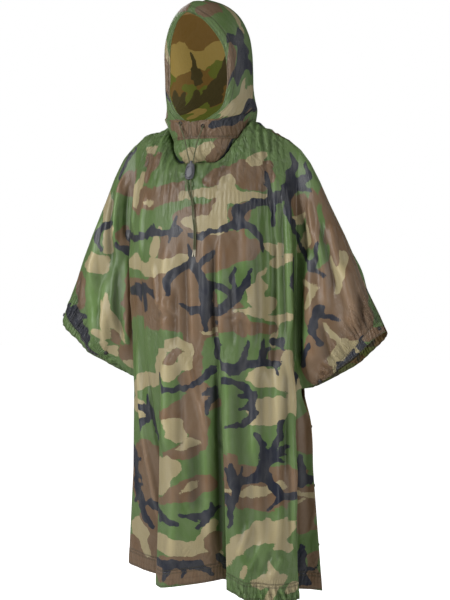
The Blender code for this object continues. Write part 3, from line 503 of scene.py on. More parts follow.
def casing_net():
    """Inside the face opening, from the chin seam over the crown and back."""
    half, rows = HOOD_ROWS - 1, []
    for i in range(2 * half + 1):
        s = 1 - i / half
        side = 1 if s >= 0 else -1
        rim = mix(1, 1 / 11, abs(s))
        column = []
        for j in range(3):
            t = j / 2
            u = mix(0.008 * smooth(1 - (1 - abs(s)) * 8), table_value(CASING, "v", "inner_u", rim), t)
            v = mix(rim, table_value(CASING, "v", "inner_v", rim), t)
            point = hood_point(side, u, v)
            inward = np.array((0, 0.02, min(point[2], 0.2))) - point
            height = 0.0011 + table_value(CASING, "v", "gap", rim)
            if s == 0:
                column.append((HOOD_LEAN, point[1], point[2] - 1.6 * height))
                continue
            normal = np.cross(hood_point(side, u + 0.04, v) - hood_point(side, u - 0.04, v),
                              hood_point(side, u, v + 0.04) - hood_point(side, u, v - 0.04))
            normal = unit(normal) * np.sign(normal.dot(inward))
            column.append(tuple(point + normal * height))
        rows.append(column)
    return np.swapaxes(np.array(rows), 0, 1)


def throat_point(degrees, t):
    angle = np.radians(degrees)
    low, high = neck_z(degrees) + SEAT, HOOD_SECTIONS[0].front_z - STRIP_GAP
    swell = 1 + THROAT_BULGE * np.sin(math.pi * t) * smooth((THROAT_ANGLE - np.abs(degrees)) / 30)
    depth = mix(NECK_DEPTH - 0.001, -HOOD_SECTIONS[0].front_y, t) * swell
    return stack((NECK_WIDTH - 0.001) * swell * np.sin(angle), -depth * np.cos(angle), mix(low, high, t))


def panel_u(i):
    k = i - FLAP_COLUMNS - BODY_COLUMNS
    flap = 1 + (np.abs(k) - BODY_COLUMNS) / FLAP_COLUMNS * (1 - CUFF_SHARE)
    return np.where(np.abs(k) <= BODY_COLUMNS, k / BODY_COLUMNS, np.sign(k) * flap)


def panel_v(j):
    return np.select(
        [j <= YOKE_ROWS, j <= YOKE_ROWS + ARM_ROWS],
        [j / YOKE_ROWS, 1 + (j - YOKE_ROWS) / ARM_ROWS],
        2 + (j - YOKE_ROWS - ARM_ROWS) / SKIRT_ROWS,
    )


# Cloth: wander, creases and print

LATTICE = np.random.default_rng(7).uniform(-1, 1, (64, 64))


def wander(a, b, seed=0):
    """Smooth uneven values from -1 to 1 over a plane, about one swing for each unit."""
    a, b = a + 17.3 * seed, b + 9.7 * seed
    i, j = np.floor(a).astype(int), np.floor(b).astype(int)
    x, y = smooth(a - i), smooth(b - j)
    low = mix(LATTICE[i % 64, j % 64], LATTICE[(i + 1) % 64, j % 64], x)
    high = mix(LATTICE[i % 64, (j + 1) % 64], LATTICE[(i + 1) % 64, (j + 1) % 64], x)
    return mix(low, high, y)


def lengths(points, middle_column, middle_row, start):
    """Metres of cloth across and down a grid of points, from a middle column and a row that lies at start."""
    s = np.zeros(points.shape[:2])
    t = np.zeros(points.shape[:2])
    s[:, 1:] = np.cumsum(np.linalg.norm(np.diff(points, axis=1), axis=-1), axis=1)
    t[1:] = np.cumsum(np.linalg.norm(np.diff(points, axis=0), axis=-1), axis=0)
    return s - s[:, middle_column:middle_column + 1], t - t[middle_row:middle_row + 1] + start


def panel_lengths(points):
    """The same for a panel. An arm flap hangs nearly flat, so its lengths run on level and plumb."""
    middle = FLAP_COLUMNS + BODY_COLUMNS
    left_root = middle + BODY_COLUMNS
    s, t = lengths(points, middle, YOKE_ROWS, 0.33)
    for root, flap in ((FLAP_COLUMNS, slice(0, FLAP_COLUMNS)), (left_root, slice(left_root + 1, None))):
        start = points[:, root:root + 1]
        s[:, flap] = s[:, root:root + 1] + points[:, flap, 0] - start[..., 0]
        t[:, flap] = t[:, root:root + 1] - points[:, flap, 2] + start[..., 2]
    return s, t


def outward_normals(points, sign):
    across, down = np.gradient(points, axis=1), np.gradient(points, axis=0)
    return unit(np.cross(across, down)) * sign


# A crease from one place of the cloth to another, in metres of cloth.
# depth is up when positive, lean is as in a fold, and bend bows it sideways
Crease = namedtuple("Crease", "s0 t0 s1 t1 width depth lean bend")


def crease_height(creases, s, t):
    total = np.zeros(s.shape)
    for crease in creases:
        ds, dt = crease.s1 - crease.s0, crease.t1 - crease.t0
        length = math.hypot(ds, dt)
        ds, dt = ds / length, dt / length
        along = ((s - crease.s0) * ds + (t - crease.t0) * dt) / length
        off = (s - crease.s0) * dt - (t - crease.t0) * ds
        off = off + crease.bend * 4 * along * (1 - along)
        off = off + 0.10 * crease.width * wander(along * 5, 0 * along + crease.s0 * 40, 3)
        ends = smooth(along / 0.22) * smooth((1 - along) / 0.22)
        width = crease.width * mix(0.45, 1, np.sqrt(ends))
        total += crease.depth * ends * fold_profile(off / width, crease.lean)
    return total


# The print: rounded patches and branching strokes, in centimetres of cloth. turn is in degrees
Patch = namedtuple("Patch", "colour s t width height turn")
Stroke = namedtuple("Stroke", "s0 t0 s1 t1 start end")


def soft_max(a, b, blend):
    return np.maximum(a, b) + np.maximum(blend - np.abs(a - b), 0) ** 2 / (4 * blend)


def print_fields(s, t, patches, strokes):
    """How far inside the brown, tan and dark shapes each point lies, in centimetres."""
    s, t = s * 100, t * 100
    near = (s + 0.9 * wander(s / 4, t / 3, 1) + 0.5 * wander(s / 1.5, t / 1.2, 2)
            + 0.2 * wander(s / 0.6, t / 0.6, 12))
    down = (t + 0.9 * wander(s / 4, t / 3, 4) + 0.5 * wander(s / 1.5, t / 1.2, 5)
            + 0.2 * wander(s / 0.6, t / 0.6, 13))
    fields = {name: np.full(s.shape, -9.0) for name in ("brown", "tan", "dark")}
    for patch in patches:
        turn = math.radians(patch.turn)
        a, b = near - patch.s, down - patch.t
        x = (a * math.cos(turn) - b * math.sin(turn)) / (patch.width / 2)
        y = (a * math.sin(turn) + b * math.cos(turn)) / (patch.height / 2)
        shape = (1 - (np.abs(x) ** 2.4 + np.abs(y) ** 2.4) ** (1 / 2.4)) * min(patch.width, patch.height) / 2
        for name in ("brown", "tan"):
            if patch.colour == name:
                fields[name] = soft_max(fields[name], shape, 0.8)
            elif patch.colour == "green" or name == "tan":
                fields[name] = np.minimum(fields[name], -shape)
    ragged_s = s + 0.5 * wander(s / 2.2, t / 2.2, 6) + 0.34 * wander(s / 0.9, t / 0.9, 7)
    ragged_t = t + 0.5 * wander(s / 2.2, t / 2.2, 8) + 0.34 * wander(s / 0.9, t / 0.9, 9)
    for stroke in strokes:
        ds, dt = stroke.s1 - stroke.s0, stroke.t1 - stroke.t0
        along = (ragged_s - stroke.s0) * ds + (ragged_t - stroke.t0) * dt
        along = np.clip(along / (ds * ds + dt * dt), 0, 1)
        away = np.hypot(ragged_s - stroke.s0 - ds * along, ragged_t - stroke.t0 - dt * along)
        fields["dark"] = soft_max(fields["dark"], mix(stroke.start, stroke.end, along) / 2 + 0.1 - away, 0.5)
    return np.stack([np.clip(fields[name], -2, 2) for name in ("brown", "tan", "dark")], axis=-1)


def scattered_print(seed, low, high):
    """Patches and branches spread over a rectangle of cloth between two corners, in centimetres."""
    draw = random.Random(seed)
    patches, strokes = [], []
    across, down = int((high[0] - low[0]) / 11.5) + 1, int((high[1] - low[1]) / 8.5) + 1
    cells = [(i, j) for i in range(across) for j in range(down)]
    draw.shuffle(cells)
    for number, (i, j) in enumerate(cells):
        s = mix(low[0], high[0], (i + draw.uniform(0.1, 0.9)) / across)
        t = mix(low[1], high[1], (j + draw.uniform(0.1, 0.9)) / down)
        colour = ("brown", "tan", "brown", "green")[number % 4]
        turn = draw.uniform(-25, 25)
        size = draw.uniform(0.8, 1.25) * (0.72 if colour == "tan" else 1)
        for _ in range(3):
            patches.append(Patch(colour, s + draw.uniform(-5, 5) * size, t + draw.uniform(-2.2, 2.2) * size,
                                 size * draw.uniform(7, 13), size * draw.uniform(2.8, 5.5),
                                 turn + draw.uniform(-20, 20)))
    for number in range(int(across * down * 0.42)):
        s, t = draw.uniform(low[0], high[0]), draw.uniform(low[1], high[1])
        heading, width = draw.uniform(0, 360), draw.uniform(1.6, 2.4)
        for _ in range(draw.randint(4, 6)):
            step = draw.uniform(2.2, 3.6)
            turn = math.radians(heading)
            s1, t1 = s + step * math.cos(turn), t + step * math.sin(turn)
            strokes.append(Stroke(s, t, s1, t1, width, width * 0.85))
            side = turn + draw.choice((-1, 1)) * draw.uniform(0.7, 1.4)
            reach = draw.uniform(2.0, 4.0)
            tip = s1 + reach * math.cos(side), t1 + reach * math.sin(side)
            strokes.append(Stroke(s1, t1, *tip, width * 0.75, 0.6))
            s, t, width = s1, t1, width * 0.88
            heading += draw.uniform(-45, 45)
    return patches, strokes


# The print laid out one by one, in centimetres of cloth
FRONT_PATCHES = read_rows(Patch, """
    # yoke and chest
    brown -17 10 9 4 60, brown -18 18 12 6 8, brown -8 17 14 5 12, tan -21 5.4 6 3 0,
    brown -18.6 8.4 7 3.4 -10, tan -21.6 15.6 4.2 9 -4, brown -27.4 14.6 8 3.4 8, tan -13.7 18.6 4.4 1.6 8,
    green -13 23.5 20 6 20, green -3 19.5 9 3 12, brown 9 13 12 6 10, brown 18 12.5 12 7 -4,
    tan 19 8.6 6 3.2 25, tan 10 15 6 5 0, tan 1.5 17.4 10 2.6 0, tan 12 17.4 16 3 0,
    tan 19.5 17.8 8 2.2 -3, green 3 19.3 8 2.2 3, brown 8 19 6 1.9 -3,
    # the large brown across the chest and down the near side
    brown 2 23.5 14 7 8, brown 8 30 26 9 0, brown 15 22 8 6 0, brown -2 32 14 14 0, brown -4 42 24 15 0,
    brown -20 43 22 11 0, brown 3 47 16 8 0, tan 3 24 11 3.4 5, tan 8.6 21.5 4.5 8 0, tan 7 25.6 5 3.4 0,
    green 19 25 7 9 -20, brown 13 31.5 12 7 10, green -18 28.5 12 8 0, tan -10 29 3 7 -18,
    green -15 27 8 5 0, tan -19 34 15 3.6 -8, tan -9 34.5 9 4 12, tan -3.5 33 9 2.6 25,
    green -20 36.3 13 2.2 -8,
    # green of the middle, with its tan
    green 13 38 13 11 5, green 22 38 12 17 0, green 20 45 14 8 0, brown 10 33.2 12 3 14, tan 22 30 7 3 4,
    tan 25 32.6 9 2.4 12, tan 19 37.5 4 6 -30, tan 17.5 40.5 4.5 5 20, tan 19.5 43 6 4.5 10,
    tan 15 44.8 8 2 8, green 21.5 36 3 4 0, tan 24 46.3 9 1.8 -4, tan 23.4 50 2 7 0, brown 11 46.8 9 4 0,
    brown 17 48.8 14 2.8 -4, tan 4.6 49.6 6 1.2 8, brown 12 43.4 5 1.8 15,
    # waist
    green -20 54 15 16 0, green -11 53 8 6 0, brown -11 47.5 12 5 0, brown 0.8 55 5 13 0,
    green 5 56.5 5 10 -10, green 14 55 18 9 0, tan -3.5 53.3 8 4 0, tan -1.6 56 3.6 8 12,
    tan -9.5 57.5 7 7 0, tan -5 59.5 6 5 45, brown -5 56 6.5 2 32, brown 25 55.6 7 3 0,
    tan 22 60.5 11 5 -8, tan 28 58.5 5 8 0, brown -0.5 62 5 3 0, tan -18 62.5 14 4 18,
    # skirt, left of the middle pleat
    green -7 65.5 9 6 10, brown 2 66 9 7 20, brown -2 70 12 8 10, brown -9 69.8 6 2 10,
    brown 2.5 74 5 7 -10, tan -22 68.5 8 4.5 -15, tan -4.6 72.5 6 4.4 -10, tan -2.6 74.6 4.5 3 20,
    green -8.6 75 5 8 0, green 5.5 77 4 12 0, brown -1 77.5 9 3.4 22, tan -1.4 77 6.5 1.5 24,
    brown -3.5 79.4 9 1.8 4, brown -20 83 16 12 -5, tan -7.5 82.5 9 5 0, tan -8.5 86 7.5 5 20,
    green 1 82 6 4.6 15, brown -1 87.5 14 5 16, brown -7 90 8 2.2 6, tan -1.3 87.3 5 1.6 20,
    brown -19 92 12 8 0, green -3 95 17 8 0, tan -28 101.5 5.4 9 14, tan -26 107 2 7 8,
    tan -23 105 2.6 8 30, tan -6 101 16 4.6 -4, tan 2.2 98.6 10 3.4 50, tan 2 102.4 10 2.2 -6,
    brown 4.6 100 5.6 5 12, brown -2 106.5 22 7 3, brown -24 107 20 8 -8, brown -31 106 6 9 0,
    brown 2 103.6 8 2 8, brown -20 99 3 9 12, brown -25 87.4 9 12 0, brown -23.6 99 6 12 0,
    tan -26.6 101 3.8 9 6, green -27.4 95 3.4 2.6 0, brown -28.2 107.4 7 3 0,
    # skirt, the near fold
    tan 22 68.5 10 6.4 0, tan 26 66 6 5 0, tan 19.5 71.2 5 1.8 0, tan 30 65 5 10 0, green 22 63.5 9 2.2 -6,
    tan 9 76 3.6 1.8 20, brown 12 80.2 8 3 8, brown 19 86 22 10 0, brown 28 85 7 8 0,
    tan 11.5 86.6 6 1.4 -6, tan 22 86.6 12 1.8 6, tan 18.5 87.8 5 1.2 -4, brown 20 90 18 3 -4,
    green 27 79.5 4 5 0, tan 25 96.2 13 5.2 14, tan 16.5 99.2 8 3.6 32, tan 29.5 99.5 4 3.4 0,
    tan 15.6 103.6 9 3.0 48, green 24 103 15 5 10, tan 20 105.8 3 2.2 70, tan 27 107.4 10 2.2 8,
    tan 27.5 105.4 1.6 4 20, tan 27.5 110.6 7.4 2.0 50, tan 32.5 109.2 4 1.8 20,
    # skirt, the far side
    green 33 66 6 6 0, brown 36 76 12 14 0, green 35.5 80.4 9 2.6 -32, green 41 84 5 9 0,
    brown 39 92 15 13 0, tan 32.6 85.4 4 2.2 0, tan 38.5 87.6 6 1.8 6, tan 36 90.6 9 0.9 32,
    green 43.6 93 4 6 0, green 40 99.6 14 4.6 0, brown 45 103.4 3.6 5 0, brown 39.6 106 5 7 0,
    green 47.5 103 4 5 0, brown 44 108.6 12 5 0,
    # arm flap on the right side
    brown -31 13 8 5 20, tan -38.5 19 4.5 9 12, tan -36 27 4 7 0, brown -31.5 27 3.4 6 0,
    tan -39 33.2 9 5 -8, brown -45 40 5 11 22, brown -29 44 5 24 0, brown -31 57 7 5 0,
    tan -34.4 47.4 2.3 14.5 16, tan -36.8 46.6 1.9 7.4 16, tan -36.4 51 3.6 2.4 0,
    brown -34.9 52.4 1.7 5 14, tan -38.8 50.6 2.8 2.2 0, tan -37 54.4 1.6 4 10, tan -31 59.4 7 2 -25,
    tan -35.5 56 2 2 0,
    # arm flap on the left side
    brown 31 20 8 6 -12, brown 35 23 4.6 14 -10, brown 40 22 7 15 -22, tan 30 22.7 5.4 2.0 20,
    brown 44 36 13 34 -22, brown 43 47 15 26 -20, brown 37 45 7 20 0, green 37.4 25.5 1.8 12 -5,
    tan 29 23.6 5 1.6 -28, tan 32.6 28.4 1.8 6 -10, tan 42.4 35.8 2.8 9 -12, tan 44.4 32.2 3.2 3.2 20,
    tan 39.8 34.4 1.8 4 30, tan 36.6 41.6 1.8 6.4 -20, tan 35 38.6 3 1.2 -20, green 33 48 4.4 14 0,
    tan 45.6 54.0 9.4 5.2 38, tan 42 57.4 4 5 0, tan 42.2 50.6 7.4 1.5 -64, green 53 46 2.4 8 -28,
    brown 37.6 59.6 8 5 0, brown 50.6 49.4 5 4 0,
""")
FRONT_STROKES = read_rows(Stroke, """
    # chest
    -30 26 -27 26.5 1.4 1.8, -27 26.5 -21 27.4 1.6 1.8, -21 27.4 -13 26.3 1.2 1.6,
    -13 26.3 -8 26.6 2.2 1.2, -8 26.4 -3 26 1.2 2.0, -4 26 -3.4 22.6 1.5 0.5, -4.4 26.2 -5.6 28.6 1.4 0.6,
    -3.4 26.4 -1.6 25.6 1.2 0.5, -12 25.6 -11 24.4 1 0.5, 0.5 26.8 4 27.2 0.9 1.7, 4 27 8 26 1.3 1.1,
    8 26 13 24.4 1.0 2.0, 13 24.4 13.4 21 2.6 2.4, 13.4 21 17 19.6 2.0 1.5, 17 19.6 21.6 19 1.4 1.6,
    21.6 19 27 17 1.7 2.6, 13.6 23.6 16.4 25.6 2.0 1.8, 16.4 25.6 18.4 27.6 1.7 1.5,
    18.4 27.6 18.9 30.6 1.4 0.7, 21.2 13 22 19 1.4 1.8, 22 19 22.4 24.6 1.8 1.2, 20 15 21.4 15.6 0.8 1.2,
    29 7.6 30 10.4 0.9 1.8, 30 10.4 28 12.8 1.8 2.4, 28 12.8 27.2 15.6 3.2 3.8, 26.6 15.6 26 21.6 2.4 1.6,
    28.6 14.8 31.8 14.2 2.0 1.6, 31.8 14.2 35.6 12.8 1.6 1.3, 29 16 34.4 16.6 1.8 0.8,
    35.2 13 34.4 10.4 1.2 0.9, 26 21.6 28 25 1.8 2.0, 28 25 31.2 27.6 1.6 1.0, 31.2 27.6 32.6 31 0.7 0.5,
    32.6 31 34.8 34.6 0.5 0.8, 34.8 34.6 38.4 36.8 1.3 0.7, 35 33.8 36.6 28.6 1.1 0.9,
    28.4 33 28 38.4 1.3 1.9, 28 38.4 28.6 40 1.8 0.8, -33.8 6 -35.4 11.4 1.8 1.3, -34.2 8 -32 4.6 1.3 0.8,
    # the middle star
    0.2 29.6 1.2 33 0.8 1.6, 1.2 33 3.4 36.8 1.7 2.4, 3.4 36.8 4.6 40 2.4 3.4, 4.6 40 4.4 45 2.6 3.0,
    4.4 45 4.0 49.4 1.9 0.9, 2.6 35 5 32.4 1.4 1.3, 5 32.4 6.6 30.8 1.5 1.1, 1.2 33.2 -3 35.2 1.3 1.4,
    -3 35.2 -5.6 37.8 1.6 2.2, -5.6 37.8 -5.4 41.2 2.1 0.7, 4.2 44.4 0.8 45 1.7 1.5,
    0.8 45 -2.2 43.2 1.2 0.6, 4.8 44.8 9.4 45 2.0 2.2, 9.4 45 12.6 41.4 2.3 2.2,
    12.6 41.4 15.2 38.4 1.9 1.4, 15.2 38.4 16.2 35 1.2 0.7, 12.4 41 11.8 37.6 1.5 1.6,
    11.8 37.6 12.4 34.8 1.4 0.8, 5 38.6 9 39 1.6 1.5, 9 39 11.8 41.4 1.4 1.6, 7 47.8 8.8 47.6 1.0 1.0,
    -24 40 -17 39.6 1.8 2.8, -17 39.6 -11.6 40 2.8 1.6, -12 40 -10.6 42 1.2 0.5, -18 39.6 -19 43 2.0 0.8,
    -15 40 -14.6 44.6 2.4 1.4, -24.6 50 -25 54 0.7 1.3,
    # waist
    6.6 51.4 7 55 1.4 1.6, 7 54.6 9.8 52.6 1.2 0.6, 7 55 9.4 58 1.5 1.9, 9.4 58 13.2 58.4 2.0 2.2,
    13.2 58.4 15 56.2 1.8 1.3, 15 56.8 16 52.4 1.3 0.7, 13.4 58.6 19.8 56.4 1.8 1.9,
    19.8 56.4 20 51.6 2.0 0.9, 20.4 55 22.4 53.8 1.2 0.7, 19.8 56.8 24 57.6 1.6 1.4,
    24 57.6 25.6 57 1.2 0.5, 23 57.6 24 59.6 1.0 0.5, 22.4 51.8 25.6 52 1.2 1.6, 25.6 52 26.4 53.6 1.3 0.7,
    31 60 30.6 63.6 1.8 2.4, 30.6 63.6 31.6 66.6 2.0 0.8, 5.4 58.4 2.2 61.8 2.2 1.6,
    2.2 61.8 -2 63.4 1.2 1.2, -2 63.4 -7.4 63.8 1.1 1.2, -7.4 63.8 -9.8 60.4 1.1 0.5,
    5.6 63.4 2.8 64.4 1.6 0.8, 5.6 65.2 3.6 67.4 1.4 1.3, 3.6 67.4 3.2 69.2 1.2 0.7,
    # skirt
    -23 68.6 -16.8 69.4 1.4 2.0, -17.4 66 -17 69.6 0.7 1.2, -16.6 70.2 -21.8 74.6 2.0 1.2,
    -16.6 70 -15.4 76.4 1.1 0.5, 8.6 61.8 12.4 61.2 1.3 1.4, 12.4 61.2 16.4 62.4 1.4 1.6,
    16.4 62.4 18.6 65 1.7 1.9, 18.6 65 17.6 67 1.9 2.2, 17.6 67 18.6 69 2.2 1.9, 18.6 69 16.6 71 1.7 1.2,
    16.6 71 12 72.2 1.1 0.5, 17 64.4 14.8 64.6 1.2 0.6, 17.4 67.2 14.8 67.6 1.3 0.6,
    25.6 70.6 25.8 74.4 1.3 1.3, 25.8 74.4 23 79.6 1.3 1.8, 20 73.6 21.8 76.4 0.9 1.4,
    21.8 76.4 22.4 80.4 1.4 2.4, 23.4 79.8 28 78.4 1.0 0.5, 23.4 80.6 27.6 80.4 1.1 0.5,
    28 76 24.4 79.6 0.9 1.0, 22.4 80.4 21.6 83.4 2.8 2.6, 21.6 83.4 16.4 85 2.0 1.8,
    16.4 85 15.2 89.6 2.2 2.0, 15.2 89.6 14.8 95.4 1.8 0.7, 12.4 82.2 15.2 86 0.9 1.5,
    13.8 81.4 15 85 1.0 1.4, 17.2 81.4 16 85 0.9 1.4, 10 87.6 13 88.4 1.4 1.3, 13 88.4 15 90.2 1.4 1.4,
    22.6 82.6 25.2 86 1.9 1.9, 25.2 86 27.4 88 2.0 2.4, 27.4 88 30.6 88 2.0 1.6, 27 88.6 24.4 90.6 1.2 0.5,
    34 79.4 35 82.6 1.1 2.0, 35 82.6 36 85.4 1.9 2.2, 36 85.4 40.4 84.2 1.8 0.7, 35.8 85.4 33 86.4 1.6 0.8,
    -26.8 80.6 -26.2 86 3.4 2.2, -26.4 83 -23.4 82 1.6 0.7, -26.2 85 -23.8 86.4 1.4 0.6,
    -27 87.4 -25.6 91 3.0 3.2, -25.4 91 -24.6 95.6 3.0 2.2, -21.6 92.4 -17 93.6 2.0 1.6,
    -25.6 90.6 -28.4 92.6 1.5 0.8, -24.8 95.4 -22.6 98.6 2.2 1.2, -24.6 93 -22 92.6 1.4 0.8,
    -26 88.6 -23.6 87.8 1.3 0.6, -11.6 91.8 -9.6 94.2 1.2 1.6, -9.6 94.2 -4.6 95.8 1.8 1.0,
    -3.6 93.4 -0.4 94.2 0.6 1.2, -0.4 94.2 3.2 92.8 1.3 1.7, 3.2 92.8 6.4 91.4 1.5 0.7,
    4.2 90.8 3.6 93.4 0.6 1.3, 3.6 93.4 0.2 96.6 1.3 1.0, -12.2 105.4 -6.6 105.6 1.9 2.2,
    -6.6 105.6 0.4 105.4 1.7 1.9, 0.4 105.4 4.2 107.6 1.4 0.7, -7.4 106 -7.8 109.4 1.6 0.9,
    -3.4 106 -3.8 108.4 1.4 0.8, 40.2 100.6 41.4 104 0.6 1.4, 41.4 104 43.6 109 1.4 1.7,
    42 105.4 39.6 106.8 1.2 0.6, 43 106.6 46 105 1.1 0.6, 43.4 108 41.4 110 1.5 1.0,
    5.4 103.6 7.6 106.4 1.8 1.6,
    # arm flaps
    -35.2 23.6 -38.2 24.2 1.3 2.2, -38.2 24.2 -39.8 27 2.2 2.0, -39.8 27 -37.8 30.2 1.9 0.9,
    -33.2 29 -29 30.8 1.2 2.0, -30.6 25.4 -29 28.4 1.2 1.5, -46 45.6 -44.6 49 2.4 3.0,
    -44.6 49 -41.8 53 2.6 1.8, -45 46.4 -42.4 47 1.5 0.7, -49.6 45.8 -47 48 3.4 2.6,
    -47 48 -45.4 52 2.4 1.8, -47.4 46.4 -44.4 47.6 1.4 0.6, -45.4 52 -41.4 56 2.2 1.8,
    -46 49 -42.6 53.6 1.2 1.4, 38.8 44.6 37 48.8 1.8 2.2, 37 48.8 38.6 52.6 1.5 0.7,
    38.4 45.6 42 46.4 1.4 0.6, 33.4 52 34.6 57 1.2 2.0, 36 53 35 56.4 1.0 1.4, 47.2 50.8 50.2 54 1.8 2.0,
    44 57.6 48.4 55.4 2.6 1.8, 46.8 54 46.2 56 1.1 1.6, 44 57.6 43.4 60 1.8 1.6,
""")
# Hood halves: s from the face opening back, t up from the collar
HOOD_PATCHES = {
    1: read_rows(Patch, """
        brown 6 2 20 5 0, brown 9 4.8 14 2 4, tan 5.2 9.4 5.4 4.4 0, tan 10.8 6.8 8 3.6 0,
        green 6 12.4 14 4 0, brown 1.3 20.6 3.6 7 0, green 9 21 6 12 0, brown 3.2 6.2 4 3.4 0,
        green 4 29 7 6 0, tan 9.6 26 3 9 12, brown 5 33.4 10 3 30, green 4 37 9 2.6 20, green 13 18 3 8 0,
        brown 18 27 10 10 0, brown 20 14 8 9 0, tan 17 20 6 5 0, tan 21 4.6 7 3 20, green 16 5 8 6 0,
    """),
    -1: read_rows(Patch, """
        brown 15 27 20 17 0, tan 9.6 17.4 9 9 0, tan 15 17 12 5.4 0, tan 21.6 19.2 6 5 0,
        brown 14 12.6 12 4 0, brown 22.4 9.6 5 8 0, brown 9 9 8 5 0, green 13.4 10.4 4.2 2.6 0,
        tan 11.6 4.6 5 1.8 0, tan 19.4 4.2 7 2.2 10, brown 3 2.6 9 7 0, green 10 1.4 9 4 0,
        brown 1.2 17.5 3.4 10 0, tan 1.0 23.6 2.4 3.6 0, green 1.5 29.4 4 7 0, brown 4 36 8 4 20,
    """),
}
HOOD_STROKES = {
    1: read_rows(Stroke, """
        2.4 25.4 5.2 22.6 1.8 3.4, 5.2 22.6 7.8 21.4 3.0 1.6, 5.4 22.4 4.9 18.6 3.4 4.0,
        4.9 18.6 5.4 15.4 4.6 6.4, 5.4 15.4 10.8 12.8 4.6 2.2, 4.6 15.6 1.6 16.8 3.2 1.6,
        7 18 9.2 17.2 2.2 0.8, 6 3.6 9.6 4.6 0.8 1.8, 9.6 4.6 16 3.6 2.2 2.0, 5.4 2.4 8.6 4.2 1.0 1.5,
    """),
    -1: read_rows(Stroke, """
        14.2 19 15.2 14.6 0.5 1.5, 15.2 14.6 15.6 12.4 2.4 2.6, 15.6 12.4 15.4 11 2.2 0.8,
        14 15.2 14 12.8 0.9 1.3, 24 18.2 22.4 13.4 1.6 2.6, 22.4 13.4 20.4 9.6 2.8 3.6,
        20.4 9.6 18.2 7.6 3.6 3.2, 18.2 7.6 16.4 4.4 2.6 3.0, 20.4 8.4 22.4 6.6 2.6 2.0,
        15.6 8.6 15.8 4.4 1.5 2.4, 11.4 8.4 13.4 5.4 1.6 2.4, 8.4 8.8 10.8 6.4 2.2 1.6,
        1.0 12.4 3 13.4 1.4 0.8,
    """),
}
THROAT_PATCHES = read_rows(Patch, """
    tan 0 2.6 9 4 0, brown 6.5 3 6 7 0, green -2 5 4.4 2.2 0, tan 3.4 4.6 3 4 20,
""")
THROAT_STROKES = read_rows(Stroke, """
    5 0.2 9 1.6 0.7 1.3, 9 1.6 11 4.6 1.2 0.6, -7.4 1.6 -4.4 0.2 0.9 1.4, -1.4 0.1 1.2 0.1 0.8 0.9,
""")
BACK_PRINT = scattered_print(5, (-75, -5), (75, 115))
